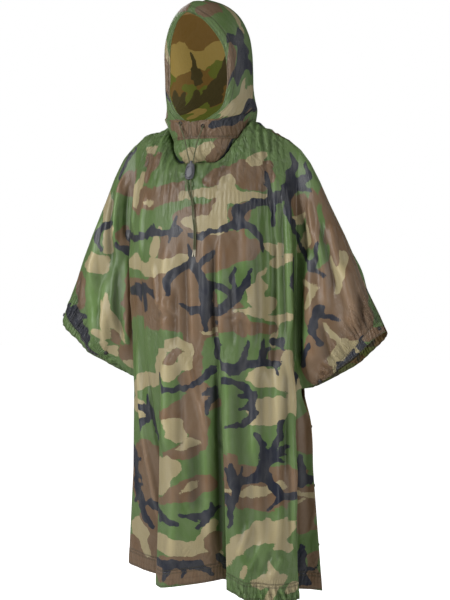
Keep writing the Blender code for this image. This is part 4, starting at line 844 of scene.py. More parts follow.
# Folds of the hanging cloth, laid one by one
FRONT_CREASES = read_rows(Crease, """
    0.087 0.265 0.099 0.546 0.02 0.006 0 0.004, 0.070 0.269 0.063 0.547 0.012 -0.005 0 0.004,
    0.142 0.201 0.146 0.374 0.02 0.004 0 -0.003, 0.234 0.121 0.228 0.255 0.01 0.004 0 0,
    0.243 0.152 0.263 0.546 0.012 -0.007 0 0.004, 0.263 0.156 0.278 0.527 0.012 0.006 0 0.003,
    0.205 0.179 0.211 0.425 0.016 0.004 0 -0.004, 0.220 0.254 0.237 0.546 0.014 -0.004 0 0.002,
    -0.165 0.150 -0.158 0.330 0.018 0.005 0 0.003, -0.239 0.110 -0.225 0.260 0.014 0.005 0 0,
    -0.110 0.330 -0.093 0.451 0.014 0.004 0 -0.003, 0.013 0.315 0.008 0.546 0.022 0.005 0 0.004,
    -0.012 0.308 -0.012 0.546 0.018 -0.004 0 -0.004, -0.058 0.278 -0.069 0.533 0.022 0.005 0 0.006,
    -0.037 0.387 -0.045 0.546 0.014 -0.004 0 0, 0.046 0.251 0.035 0.495 0.016 0.004 0 -0.004,
    0.116 0.330 0.126 0.546 0.014 -0.004 0 0.004, 0.154 0.400 0.167 0.546 0.016 0.004 0 0,
    0.174 0.279 0.184 0.546 0.014 -0.0035 0 -0.003, -0.101 0.425 -0.065 0.438 0.008 0.003 0 0.001,
    -0.093 0.444 -0.045 0.444 0.007 0.003 0 -0.001, -0.073 0.419 -0.057 0.451 0.007 0.003 0 0.001,
    -0.057 0.425 -0.037 0.463 0.008 0.003 0 0.002, -0.101 0.457 -0.057 0.464 0.007 -0.003 0 0,
    0.095 0.457 0.129 0.451 0.008 0.003 0 0.001, 0.111 0.476 0.145 0.463 0.007 0.003 0 -0.001,
    0.133 0.444 0.152 0.476 0.008 0.003 0 0, 0.148 0.457 0.173 0.476 0.008 0.003 0 0.001,
    -0.069 0.540 -0.068 0.792 0.024 0.006 0 0.004, -0.037 0.546 -0.034 0.805 0.018 -0.004 0 -0.004,
    -0.012 0.559 0.050 0.755 0.014 0.004 0 0.006, 0.008 0.732 0.004 0.945 0.026 -0.006 0 0.004,
    0.039 0.565 0.033 1.043 0.02 0.005 0 0.005, -0.052 0.827 -0.064 1.071 0.022 0.004 0 -0.004,
    0.111 0.546 0.139 0.822 0.016 0.005 0 0.004, 0.138 0.559 0.197 1.029 0.026 -0.006 0 0.006,
    0.167 0.540 0.200 0.822 0.02 0.005 0 -0.004, 0.194 0.546 0.255 1.027 0.018 -0.004 0 0.005,
    0.228 0.540 0.279 1.049 0.018 0.005 0 -0.003, 0.257 0.546 0.280 0.844 0.012 -0.005 0 0,
    0.276 0.546 0.322 1.043 0.012 0.006 0 0.002, 0.178 1.027 0.201 0.934 0.012 0.004 0 0.003,
    0.210 1.057 0.238 0.983 0.012 0.004 0 0.003, 0.241 1.069 0.266 1.001 0.012 -0.004 0 0.003,
    0.265 1.075 0.291 1.019 0.012 0.004 0 0.002, 0.309 0.226 0.340 0.333 0.012 -0.005 0 0.002,
    0.337 0.179 0.358 0.333 0.014 0.005 0 0.003, 0.357 0.240 0.406 0.464 0.014 0.006 0 0.006,
    0.376 0.221 0.406 0.423 0.016 -0.006 0 0.005, 0.430 0.331 0.452 0.500 0.03 0.007 0 -0.006,
    0.409 0.234 0.428 0.373 0.02 0.005 0 0.004, 0.368 0.422 0.370 0.580 0.022 0.006 0 0.003,
    0.395 0.469 0.414 0.575 0.02 -0.005 0 0.004, 0.483 0.398 0.483 0.498 0.02 -0.005 0 0.003,
    0.331 0.363 0.333 0.593 0.014 -0.005 0 0.002, -0.377 0.139 -0.342 0.350 0.016 -0.006 0 -0.004,
    -0.341 0.101 -0.332 0.301 0.016 0.006 0 0.005, -0.314 0.135 -0.305 0.287 0.01 -0.005 0 0.003,
    -0.406 0.199 -0.391 0.405 0.02 0.005 0 0.006, -0.410 0.303 -0.406 0.532 0.026 0.007 0 -0.006,
    -0.323 0.330 -0.328 0.542 0.016 -0.006 0 0.004, -0.352 0.358 -0.376 0.560 0.022 0.005 0 0.004,
    -0.464 0.352 -0.445 0.481 0.02 -0.005 0 0.004, -0.305 0.303 -0.313 0.556 0.012 0.005 0 0,
    -0.382 0.431 -0.385 0.553 0.014 -0.004 0 0, -0.215 0.480 -0.190 1.05 0.016 0.005 0 0.003,
    -0.165 0.500 -0.150 1.06 0.010 -0.004 0 0, 0.062 0.56 0.060 1.06 0.012 -0.006 0 0,
""")


def hung_creases(seed, count, low, high, span, width, depth):
    """Uneven creases, mostly plumb, at places drawn between two corners of the cloth."""
    draw, creases = random.Random(seed), []
    for _ in range(count):
        s, t, reach = draw.uniform(low[0], high[0]), draw.uniform(low[1], high[1]), draw.uniform(*span)
        turn = draw.gauss(0.25 * s, 0.22)
        end = s + reach * math.sin(turn), t + reach * math.cos(turn)
        creases.append(Crease(s, t, *end, draw.uniform(*width), draw.choice((1, -1)) * draw.uniform(*depth),
                              0, draw.uniform(-0.004, 0.004)))
    return creases


SMALL_CREASES = hung_creases(
    21, 90, (-0.50, 0.05), (0.50, 0.95), (0.03, 0.12), (0.006, 0.011), (0.0006, 0.0015))
BACK_CREASES = hung_creases(
    8, 46, (-0.30, 0.10), (0.30, 0.75), (0.15, 0.40), (0.012, 0.026), (0.003, 0.006))
BACK_CREASES += hung_creases(
    9, 16, (-0.48, 0.15), (0.48, 0.40), (0.10, 0.20), (0.014, 0.026), (0.003, 0.006))


# Meshes


def sewing(*lines):
    """The nearest of several stitched lines, each given as the distance from it and the length along it."""
    offs = np.stack([np.broadcast_arrays(*line)[0] for line in lines])
    runs = np.stack([np.broadcast_arrays(*line)[1] for line in lines])
    nearest = np.argmin(np.abs(offs), axis=0)[None]
    off, run = np.take_along_axis(offs, nearest, 0)[0], np.take_along_axis(runs, nearest, 0)[0]
    return np.stack([off, run, 0 * off], axis=-1)


def folded(phase, strength, crumple=0.25, relief=0.0):
    """The phase and strength of small tucks and how crumpled the cloth is, with how far it stands proud,
    which paints shade into the troughs and highlight onto the ridges.
    """
    phase, strength, crumple, relief = np.broadcast_arrays(phase, strength, crumple, relief)
    return {"gather": np.stack([phase, strength, crumple], axis=-1),
            "relief": np.stack([relief, 0 * relief, 0 * relief], axis=-1)}


def lay_sheet(name, points, sign, s, t, values, materials, wall, keep=None):
    """A thin two-faced shell from a grid of cloth, with its cloth lengths as UV map and its named values."""
    rows, columns = points.shape[0] - 1, points.shape[1] - 1
    bm = bmesh.new()
    bmesh.ops.create_grid(bm, x_segments=columns, y_segments=rows, size=0.5)
    if keep is not None:
        doomed = []
        for face in bm.faces:
            centre = face.calc_center_median()
            if not keep((centre.x + 0.5) * columns, (centre.y + 0.5) * rows):
                doomed.append(face)
        bmesh.ops.delete(bm, geom=doomed, context="FACES")
    places = [(round((v.co.y + 0.5) * rows), round((v.co.x + 0.5) * columns)) for v in bm.verts]
    for vertex, (j, i) in zip(bm.verts, places):
        vertex.co = points[j, i]
    bm.normal_update()
    sample = max(bm.faces, key=lambda face: face.calc_area())
    j, i = places[sample.verts[0].index]
    if sample.normal.dot(Vector(outward_normals(points, sign)[j, i])) < 0:
        bmesh.ops.reverse_faces(bm, faces=bm.faces)
    for face in bm.faces:
        face.smooth = True
    mesh = bpy.data.meshes.new(name)
    bm.to_mesh(mesh)
    bm.free()
    index = tuple(np.array(places).T)
    uv = np.stack([s[index], t[index]], axis=-1)
    loops = np.empty(len(mesh.loops), int)
    mesh.loops.foreach_get("vertex_index", loops)
    mesh.uv_layers.new(name="cloth").data.foreach_set("uv", uv[loops].ravel())
    for label, value in values.items():
        mesh.attributes.new(label, "FLOAT_VECTOR", "POINT").data.foreach_set("vector", value[index].ravel())
    obj = bpy.data.objects.new(name, mesh)
    bpy.context.scene.collection.objects.link(obj)
    for material in materials:
        mesh.materials.append(material)
    shell = obj.modifiers.new("cloth wall", "SOLIDIFY")
    shell.thickness, shell.offset = wall, 0
    if len(materials) > 1:
        shell.material_offset = 1
    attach(obj, "root")
    return obj


# Materials


def add_node(tree, kind, inputs=(), **settings):
    node = tree.nodes.new("ShaderNode" + kind)
    for key, value in settings.items():
        setattr(node, key, value)
    for key, value in dict(inputs).items():
        socket = node.inputs[key]
        if isinstance(value, bpy.types.NodeSocket):
            tree.links.new(value, socket)
        else:
            socket.default_value = value
    return node


def new_group(name, inputs, outputs):
    """A shader node group with named sockets, and its input and output nodes."""
    tree = bpy.data.node_groups.new(name, "ShaderNodeTree")
    for label, kind, default in inputs:
        socket = tree.interface.new_socket(label, in_out="INPUT", socket_type="NodeSocket" + kind)
        socket.default_value = default
    for label, kind in outputs:
        tree.interface.new_socket(label, in_out="OUTPUT", socket_type="NodeSocket" + kind)
    return tree, tree.nodes.new("NodeGroupInput"), tree.nodes.new("NodeGroupOutput")


def math_node(tree, operation, *values, clamp=False):
    node = add_node(tree, "Math", {i: value for i, value in enumerate(values)}, operation=operation)
    node.use_clamp = clamp
    return node.outputs[0]


def colour_mix(tree, factor, low, high, blend="MIX"):
    node = tree.nodes.new("ShaderNodeMix")
    node.data_type, node.blend_type = "RGBA", blend
    for socket, value in zip((node.inputs[0], node.inputs[6], node.inputs[7]), (factor, low, high)):
        if isinstance(value, bpy.types.NodeSocket):
            tree.links.new(value, socket)
        else:
            socket.default_value = value
    return node.outputs[2]


def ramp(tree, value, start, end, low=0.0, high=1.0, kind="LINEAR"):
    """A value brought from one range to another."""
    node = add_node(tree, "MapRange", {"Value": value, "From Min": start, "From Max": end, "To Min": low,
                                       "To Max": high}, interpolation_type=kind)
    return node.outputs[0]


def noise(tree, place, scale, detail, **inputs):
    """Uneven values from 0 to 1."""
    inputs = {"Vector": place, "Scale": scale, "Detail": detail, **inputs}
    return add_node(tree, "TexNoise", inputs).outputs["Fac"]


def vector_math(tree, operation, first, second):
    return add_node(tree, "VectorMath", {0: first, 1: second}, operation=operation).outputs[0]


def cloth_lengths(tree):
    return add_node(tree, "UVMap", uv_map="cloth").outputs[0]


def cloth_value(tree, label):
    """A value that the cloth carries, whole and as its three parts."""
    value = add_node(tree, "Attribute", attribute_name=label, attribute_type="GEOMETRY").outputs["Vector"]
    return value, add_node(tree, "SeparateXYZ", {0: value}).outputs


def print_group():
    """Woodland print: brown, tan and dark shapes on green, with edges a little bled into the weave."""
    tints = [("Green", "Color", (0.12, 0.21, 0.065, 1)), ("Brown", "Color", (0.18, 0.1, 0.055, 1)),
             ("Tan", "Color", (0.4, 0.33, 0.17, 1)), ("Dark", "Color", (0.02, 0.022, 0.035, 1))]
    tree, start, end = new_group("woodland print", tints + [("Bleed", "Float", 0.05)], [("Color", "Color")])
    calc = partial(math_node, tree)
    parts = cloth_value(tree, "print")[1]
    wobble = noise(tree, cloth_lengths(tree), 320, 2, Roughness=0.6)
    shift = calc("MULTIPLY", calc("SUBTRACT", wobble, 0.5), 0.30)
    bleed, colour = start.outputs["Bleed"], start.outputs["Green"]
    for part, label in zip(parts, ("Brown", "Tan", "Dark")):
        mask = ramp(tree, calc("ADD", part, shift), calc("MULTIPLY", bleed, -1.0), bleed, kind="SMOOTHSTEP")
        colour = colour_mix(tree, mask, colour, start.outputs[label])
    tree.links.new(colour, end.inputs["Color"])


def weave_group():
    """Ripstop weave: fine threads with a heavier one each few millimetres, as a height and a mask."""
    tree, start, end = new_group("ripstop weave", [("Cell", "Float", 0.0055), ("Thread", "Float", 0.0006)],
                                 [("Height", "Float"), ("Rib", "Float")])
    calc = partial(math_node, tree)
    place = add_node(tree, "SeparateXYZ", {0: cloth_lengths(tree)})
    heights, ribs = [], []
    for part in place.outputs[:2]:
        turns = calc("FRACT", calc("DIVIDE", part, start.outputs["Cell"]))
        ribs.append(ramp(tree, calc("ABSOLUTE", calc("SUBTRACT", turns, 0.5)), 0.42, 0.48))
        threads = calc("DIVIDE", part, start.outputs["Thread"])
        heights.append(calc("SINE", calc("MULTIPLY", threads, 2 * math.pi)))
    rib = calc("MAXIMUM", *ribs)
    height = calc("ADD", calc("MULTIPLY", calc("MULTIPLY", *heights), 0.25), rib)
    tree.links.new(height, end.inputs["Height"])
    tree.links.new(rib, end.inputs["Rib"])


def stitch_group():
    """A row of stitches along the sewn line, with the pucker round it and a painted shade in the pucker."""
    tree, start, end = new_group("stitched line", [("Length", "Float", 0.003), ("Thread", "Float", 0.0004)],
                                 [("Mask", "Float"), ("Height", "Float"), ("Shade", "Float")])
    calc = partial(math_node, tree)
    sewn, parts = cloth_value(tree, "sewing")
    away = calc("ABSOLUTE", parts[0])
    near = ramp(tree, away, start.outputs["Thread"], 0.0)
    beat = calc("FRACT", calc("DIVIDE", parts[1], start.outputs["Length"]))
    dash = ramp(tree, calc("ABSOLUTE", calc("SUBTRACT", beat, 0.5)), 0.38, 0.30, kind="SMOOTHSTEP")
    mask = calc("MULTIPLY", calc("MINIMUM", calc("MULTIPLY", near, 2.0), 1.0), dash)
    clear = ramp(tree, away, 0.0, 0.0035, kind="SMOOTHSTEP")
    dip = calc("MULTIPLY", calc("SUBTRACT", 1.0, clear), calc("ADD", noise(tree, sewn, 260, 1), 0.5))
    tree.links.new(mask, end.inputs["Mask"])
    tree.links.new(calc("SUBTRACT", calc("MULTIPLY", mask, 0.6), dip), end.inputs["Height"])
    # Shade: painted shade in the pucker beside the seam.
    tree.links.new(calc("MULTIPLY", dip, 0.35), end.inputs["Shade"])


def gather_group():
    """Small tucks where cloth is drawn up, side by side along the phase that the cloth carries."""
    tree, start, end = new_group("gathered cloth", [("Unevenness", "Float", 0.9)], [("Height", "Float")])
    calc = partial(math_node, tree)
    parts, cloth = cloth_value(tree, "gather")[1], cloth_lengths(tree)
    shift = calc("MULTIPLY", noise(tree, cloth, 34, 2), start.outputs["Unevenness"])
    wave = calc("SINE", calc("MULTIPLY", calc("ADD", parts[0], shift), 2 * math.pi))
    height = calc("MULTIPLY", calc("MULTIPLY", wave, parts[1]), noise(tree, cloth, 70, 1))
    tree.links.new(height, end.inputs["Height"])


def crinkle_group():
    """Soft creases of handled cloth, longer down the cloth than across it, as a height."""
    tree, start, end = new_group("cloth crinkle", [("Scale", "Float", 22.0), ("Stretch", "Float", 0.35)],
                                 [("Height", "Float"), ("Fold", "Float")])
    calc = partial(math_node, tree)
    cloth, scale = cloth_lengths(tree), start.outputs["Scale"]
    squeeze = add_node(tree, "CombineXYZ", {0: 1.0, 1: start.outputs["Stretch"], 2: 1.0})
    place = vector_math(tree, "MULTIPLY", cloth, squeeze.outputs[0])
    broad = noise(tree, place, scale, 3, Roughness=0.55, Distortion=0.4)
    ridge = calc("ABSOLUTE", calc("SUBTRACT", broad, 0.5))
    ridge = calc("SUBTRACT", 1.0, calc("MULTIPLY", ridge, 6.0), clamp=True)
    fine = noise(tree, place, calc("MULTIPLY", scale, 5.0), 2, Roughness=0.5)
    height = calc("ADD", calc("MULTIPLY", ridge, 0.5), broad)
    height = calc("ADD", height, calc("MULTIPLY", fine, 0.12))
    crumple = cloth_value(tree, "gather")[1][2]
    bent = add_node(tree, "TexNoise", {"Vector": cloth, "Scale": 30, "Detail": 2}).outputs["Color"]
    moved = vector_math(tree, "ADD", cloth, vector_math(tree, "MULTIPLY", bent, (0.03, 0.03, 0.0)))
    drawn_out = vector_math(tree, "MULTIPLY", moved, (1.5, 0.8, 1.0))
    facets = add_node(tree, "TexVoronoi", {"Vector": drawn_out, "Scale": 46}, feature="DISTANCE_TO_EDGE")
    peaks = calc("MULTIPLY", calc("MINIMUM", facets.outputs["Distance"], 0.35), 6.0)
    height = calc("MULTIPLY", height, calc("ADD", crumple, 0.4))
    height = calc("ADD", height, calc("MULTIPLY", peaks, crumple))
    tree.links.new(height, end.inputs["Height"])
    tree.links.new(ridge, end.inputs["Fold"])


def speckle_group():
    """Fine uneven dust and wear, as a mask in the object's own metres."""
    tree, start, end = new_group("fine wear", [("Scale", "Float", 400.0)], [("Mask", "Float")])
    place = add_node(tree, "TexCoord").outputs["Object"]
    wear = noise(tree, place, start.outputs["Scale"], 4, Roughness=0.65)
    tree.links.new(ramp(tree, wear, 0.45, 0.7), end.inputs["Mask"])


def group_node(tree, name, **values):
    node = tree.nodes.new("ShaderNodeGroup")
    node.node_tree = bpy.data.node_groups[name]
    for label, value in values.items():
        socket = node.inputs[label.replace("_", " ").title()]
        if isinstance(value, bpy.types.NodeSocket):
            tree.links.new(value, socket)
        else:
            socket.default_value = value
    return node


def new_material(name, roughness, metallic=0.0):
    material = bpy.data.materials.new(name)
    material.use_nodes = True
    tree = material.node_tree
    shader = tree.nodes["Principled BSDF"]
    shader.inputs["Roughness"].default_value = roughness
    shader.inputs["Metallic"].default_value = metallic
    return material, tree, shader


def bump(tree, shader, height, distance):
    node = add_node(tree, "Bump", {"Height": height, "Distance": distance, "Strength": 1.0})
    tree.links.new(node.outputs[0], shader.inputs["Normal"])


# The first is a pale grey mixed in along the crinkle lines; the second is near black, for the ripstop's
# darker ribs and for the painted shade in the seams' pucker.
CREASE_PALE, SEAM_SHADE_AND_RIB = (0.5, 0.48, 0.40, 1), (0.02, 0.02, 0.015, 1)
OUTSIDE_ROUGHNESS, INSIDE_ROUGHNESS, INSIDE_FADING = 0.39, 0.55, 0.28
TUCK_HEIGHT, STITCH_HEIGHT, WEAVE_HEIGHT = 0.0016, 0.0005, 0.00006


def cloth_material(name, tints, shade, roughness):
    """Coated ripstop with the woodland print, satin on its outside, its colour multiplied by a painted shade
    and highlight that follow the cloth's relief.
    """
    material, tree, shader = new_material(name, roughness)
    calc = partial(math_node, tree)
    values = {key: (*[channel * part for channel, part in zip(colour, shade)], 1)
              for key, colour in tints.items()}
    # Painted shade and highlight: relief from -1 in a crease's trough to 1 on its ridge scales the colour
    # from 0.5 to 1.25.
    painted_fold_shade = ramp(tree, cloth_value(tree, "relief")[1][0], -1.0, 1.0, 0.5, 1.25)
    pattern = group_node(tree, "woodland print", **values)
    weave = group_node(tree, "ripstop weave")
    folds = group_node(tree, "cloth crinkle", scale=16.0, stretch=0.6)
    seam = group_node(tree, "stitched line", length=sizes().stitch)
    tucks = group_node(tree, "gathered cloth")
    # Paler along the crinkle lines.
    faded = colour_mix(tree, calc("MULTIPLY", folds.outputs["Fold"], 0.06), pattern.outputs["Color"], CREASE_PALE)
    ribbed = colour_mix(tree, calc("MULTIPLY", weave.outputs["Rib"], 0.05), faded, SEAM_SHADE_AND_RIB)
    # Painted shade along the seams' pucker.
    seam_shaded = colour_mix(tree, seam.outputs["Shade"], ribbed, SEAM_SHADE_AND_RIB)
    thread = (*[0.4 * channel for channel in tints["Tan"]], 1)
    sewn = colour_mix(tree, seam.outputs["Mask"], seam_shaded, thread)
    # The painted fold shade as a colour, multiplied into the base colour below.
    light = add_node(tree, "CombineXYZ", {part: painted_fold_shade for part in range(3)})
    tree.links.new(colour_mix(tree, 1.0, sewn, light.outputs[0], "MULTIPLY"), shader.inputs["Base Color"])
    gloss = calc("ADD", calc("MULTIPLY", folds.outputs["Height"], 0.06), roughness - 0.03)
    tree.links.new(gloss, shader.inputs["Roughness"])
    shader.inputs["Specular IOR Level"].default_value = 0.30
    inputs = {"Strength": 1.0}
    for node, distance in ((folds, sizes().crinkle), (tucks, TUCK_HEIGHT), (seam, STITCH_HEIGHT),
                           (weave, WEAVE_HEIGHT)):
        inputs.update(Height=node.outputs["Height"], Distance=distance)
        inputs["Normal"] = add_node(tree, "Bump", inputs).outputs[0]
    tree.links.new(inputs["Normal"], shader.inputs["Normal"])
    return material


# What the user may change


def number(name, description, default, **kind):
    return bpy.props.FloatProperty(name=name, description=description, default=default, **kind)


def colour(name, description, default):
    return bpy.props.FloatVectorProperty(name=name, description=description, subtype="COLOR", default=default)


class PonchoSizes(bpy.types.PropertyGroup):
    """Sizes of the cloth and its make."""

    wall: number("Cloth wall", "Thickness of the cloth", 0.0006, unit="LENGTH")
    hem_wall: number("Hem wall", "Thickness of the folded hems", 0.0016, unit="LENGTH")
    crease: number("Crease", "Share of the laid creases' depth", 1.3, subtype="FACTOR")
    crinkle: number("Crinkle", "Height of the small crinkles", 0.0009, unit="LENGTH")
    # through sets the emission of the hood's inside, a painted glow for light through the cloth.
    through: number("Light through", "Light that comes through the hood's cloth", 0.50)
    stitch: number("Stitch", "Length of a stitch", 0.003, unit="LENGTH")


class PonchoColours(bpy.types.PropertyGroup):
    """Colours of the print and fittings."""

    green: colour("Green", "Ground colour of the print", (0.096, 0.165, 0.048))
    brown: colour("Brown", "Brown of the print", (0.160, 0.096, 0.052))
    tan: colour("Tan", "Tan of the print", (0.36, 0.30, 0.165))
    dark: colour("Dark", "Blue black of the print", (0.014, 0.017, 0.030))
    inside: colour("Inside", "Tint of the coated inside", (0.98, 0.83, 0.46))
    plain: colour("Plain", "Colour of the cloth under its print", (0.17, 0.15, 0.06))
    cord: colour("Cord", "Colour of the hood cord", (0.12, 0.13, 0.06))
    lock: colour("Lock", "Colour of the cord lock", (0.055, 0.055, 0.065))
    stud: colour("Stud", "Colour of the press studs", (0.02, 0.02, 0.024))


class StageSizes(bpy.types.PropertyGroup):
    """Light and floor."""

    floor: colour("Floor", "Colour of the floor", (0.9, 0.9, 0.9))
    glow: number("Floor glow", "Light that the pale floor gives back", 0.04)
    key: number("Key light", "Power of the main soft light", 112.0, unit="POWER")
    fill: number("Fill light", "Power of the soft light from the right", 58.0, unit="POWER")
    rim: number("Rim lights", "Power of the two lights behind", 13.0, unit="POWER")
    top: number("Top light", "Power of the light above", 12.0, unit="POWER")
    sky: number("Surround", "Strength of the white surround", 0.06)
    drop: number("Floor drop", "Distance from the hem to the floor", 0.30, unit="LENGTH")


def sizes():
    return bpy.context.scene.poncho_sizes


def colours():
    return bpy.context.scene.poncho_colours


def print_colours(faded=0.0):
    """The four colours of the print, mixed with the cloth's plain colour where the print shows less."""
    tints = colours()
    printed = {"Green": tints.green, "Brown": tints.brown, "Tan": tints.tan, "Dark": tints.dark}
    return {key: [mix(own, plain, faded) for own, plain in zip(tint, tints.plain)]
            for key, tint in printed.items()}


def material_named(name, make, *values):
    """The material of a name, made when it is first asked for."""
    return bpy.data.materials.get(name) or make(name, *values)


def outer_cloth():
    return material_named("printed cloth", cloth_material, print_colours(), (1, 1, 1), OUTSIDE_ROUGHNESS)


def inner_cloth():
    return material_named("cloth inside", cloth_material, print_colours(INSIDE_FADING), colours().inside,
                          INSIDE_ROUGHNESS)


def glowing_hood_inside():
    """The hood's inside, with a painted glow: its print given off as emission, standing in for daylight that
    comes through the thin cloth.
    """
    made = bpy.data.materials.get("hood inside")
    if not made:
        made = inner_cloth().copy()
        made.name = "hood inside"
        tree = made.node_tree
        shader = tree.nodes["Principled BSDF"]
        groups = [node for node in tree.nodes if node.type == "GROUP"]
        pattern = next(node for node in groups if node.node_tree.name == "woodland print")
        # Painted glow: the inside's print is also given off as light.
        tree.links.new(pattern.outputs["Color"], shader.inputs["Emission Color"])
        shader.inputs["Emission Strength"].default_value = sizes().through
    return made


# Cameras, cords and cloth pieces, one operator each


CAMERA_ANGLE, CAMERA_DISTANCE = math.radians(30), 3.5
CAMERA_SHIFT, CAMERA_Z, SENSOR_HEIGHT = 0.0245, -0.29, 24
# The lens and the downward tilt, in pixels of a view that is this many high
FOCAL_PIXELS, TILT_PIXELS, VIEW_PIXELS = 1428.6, 35, 600


class PONCHO_OT_camera(bpy.types.Operator):
    """Set up the camera level with the chest, thirty degrees to the wearer's left"""

    bl_idname = "poncho.camera"
    bl_label = "Camera"

    def execute(self, context):
        pitch = math.atan(TILT_PIXELS / FOCAL_PIXELS)
        back = Vector((math.sin(CAMERA_ANGLE), -math.cos(CAMERA_ANGLE), 0))
        right = Vector((math.cos(CAMERA_ANGLE), math.sin(CAMERA_ANGLE), 0))
        data = bpy.data.cameras.new("camera")
        data.sensor_fit, data.sensor_height = "VERTICAL", SENSOR_HEIGHT
        data.lens = SENSOR_HEIGHT * FOCAL_PIXELS / VIEW_PIXELS
        camera = bpy.data.objects.new("camera", data)
        camera.location = back * CAMERA_DISTANCE + right * CAMERA_SHIFT + Vector((0, 0, CAMERA_Z))
        look = -back * math.cos(pitch) - Vector((0, 0, 1)) * math.sin(pitch)
        camera.rotation_euler = look.to_track_quat("-Z", "Y").to_euler()
        context.scene.collection.objects.link(camera)
        context.scene.camera = camera
        return {"FINISHED"}


def smooth_route(points, spacing):
    """Points about a spacing apart on a smooth curve that passes through a route's points."""
    points = np.array(points)
    route = []
    for i, (start, end) in enumerate(zip(points, points[1:])):
        steps = max(1, round(float(np.linalg.norm(end - start)) / spacing))
        at = (i + np.arange(steps) / steps) / (len(points) - 1)
        route.extend(curve_value(points, at))
    return route + [points[-1]]


def make_cord(name, points, radius, material, closed=False):
    curve = bpy.data.curves.new(name, "CURVE")
    curve.dimensions = "3D"
    curve.bevel_depth, curve.bevel_resolution, curve.use_fill_caps = radius, 3, not closed
    spline = curve.splines.new("POLY")
    spline.points.add(len(points) - 1)
    for place, point in zip(spline.points, points):
        place.co = (*point, 1)
    spline.use_cyclic_u = closed
    obj = bpy.data.objects.new(name, curve)
    curve.materials.append(material)
    bpy.context.scene.collection.objects.link(obj)
    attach(obj, "root")
    return obj


def cord_material(name):
    material, tree, shader = new_material(name, 0.7)
    place, tint = add_node(tree, "TexCoord").outputs["Object"], colours().cord
    braid = add_node(tree, "TexWave", {"Vector": place, "Scale": 260, "Distortion": 1.5},
                     bands_direction="DIAGONAL")
    # The braid's grooves, where its bump is low, are darker: painted shade at 0.6 of the cord's colour.
    fade = colour_mix(tree, braid.outputs["Fac"], (*[0.6 * channel for channel in tint], 1), (*tint, 1))
    low = ramp(tree, add_node(tree, "SeparateXYZ", {0: place}).outputs[2], CORD_TIP_Z, CORD_TIP_Z - 0.006)
    tree.links.new(colour_mix(tree, low, fade, (0.55, 0.5, 0.38, 1)), shader.inputs["Base Color"])
    bump(tree, shader, braid.outputs["Fac"], 0.0003)
    return material


class PONCHO_OT_cords(bpy.types.Operator):
    """Run both ends of the hood cord from the eyelets through the lock to their tails"""

    bl_idname = "poncho.cords"
    bl_label = "Hood cord"

    def execute(self, context):
        material = material_named("olive cord", cord_material)
        for label, route in CORD_ROUTES.items():
            points = smooth_route(route, CORD_SPACING)
            cord = make_cord("hood_cord_" + label, points, CORD_RADIUS, material)
            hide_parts("cord_" + label)
        return {"FINISHED"}


def panel_grid(face):
    """A panel's u, v, points and cloth lengths."""
    columns, rows = 2 * (FLAP_COLUMNS + BODY_COLUMNS), YOKE_ROWS + ARM_ROWS + SKIRT_ROWS
    u, v = panel_u(np.arange(columns + 1))[None, :], panel_v(np.arange(rows + 1))[:, None]
    points = panel_point(face, u, v)
    return (u, v, points, *panel_lengths(points))


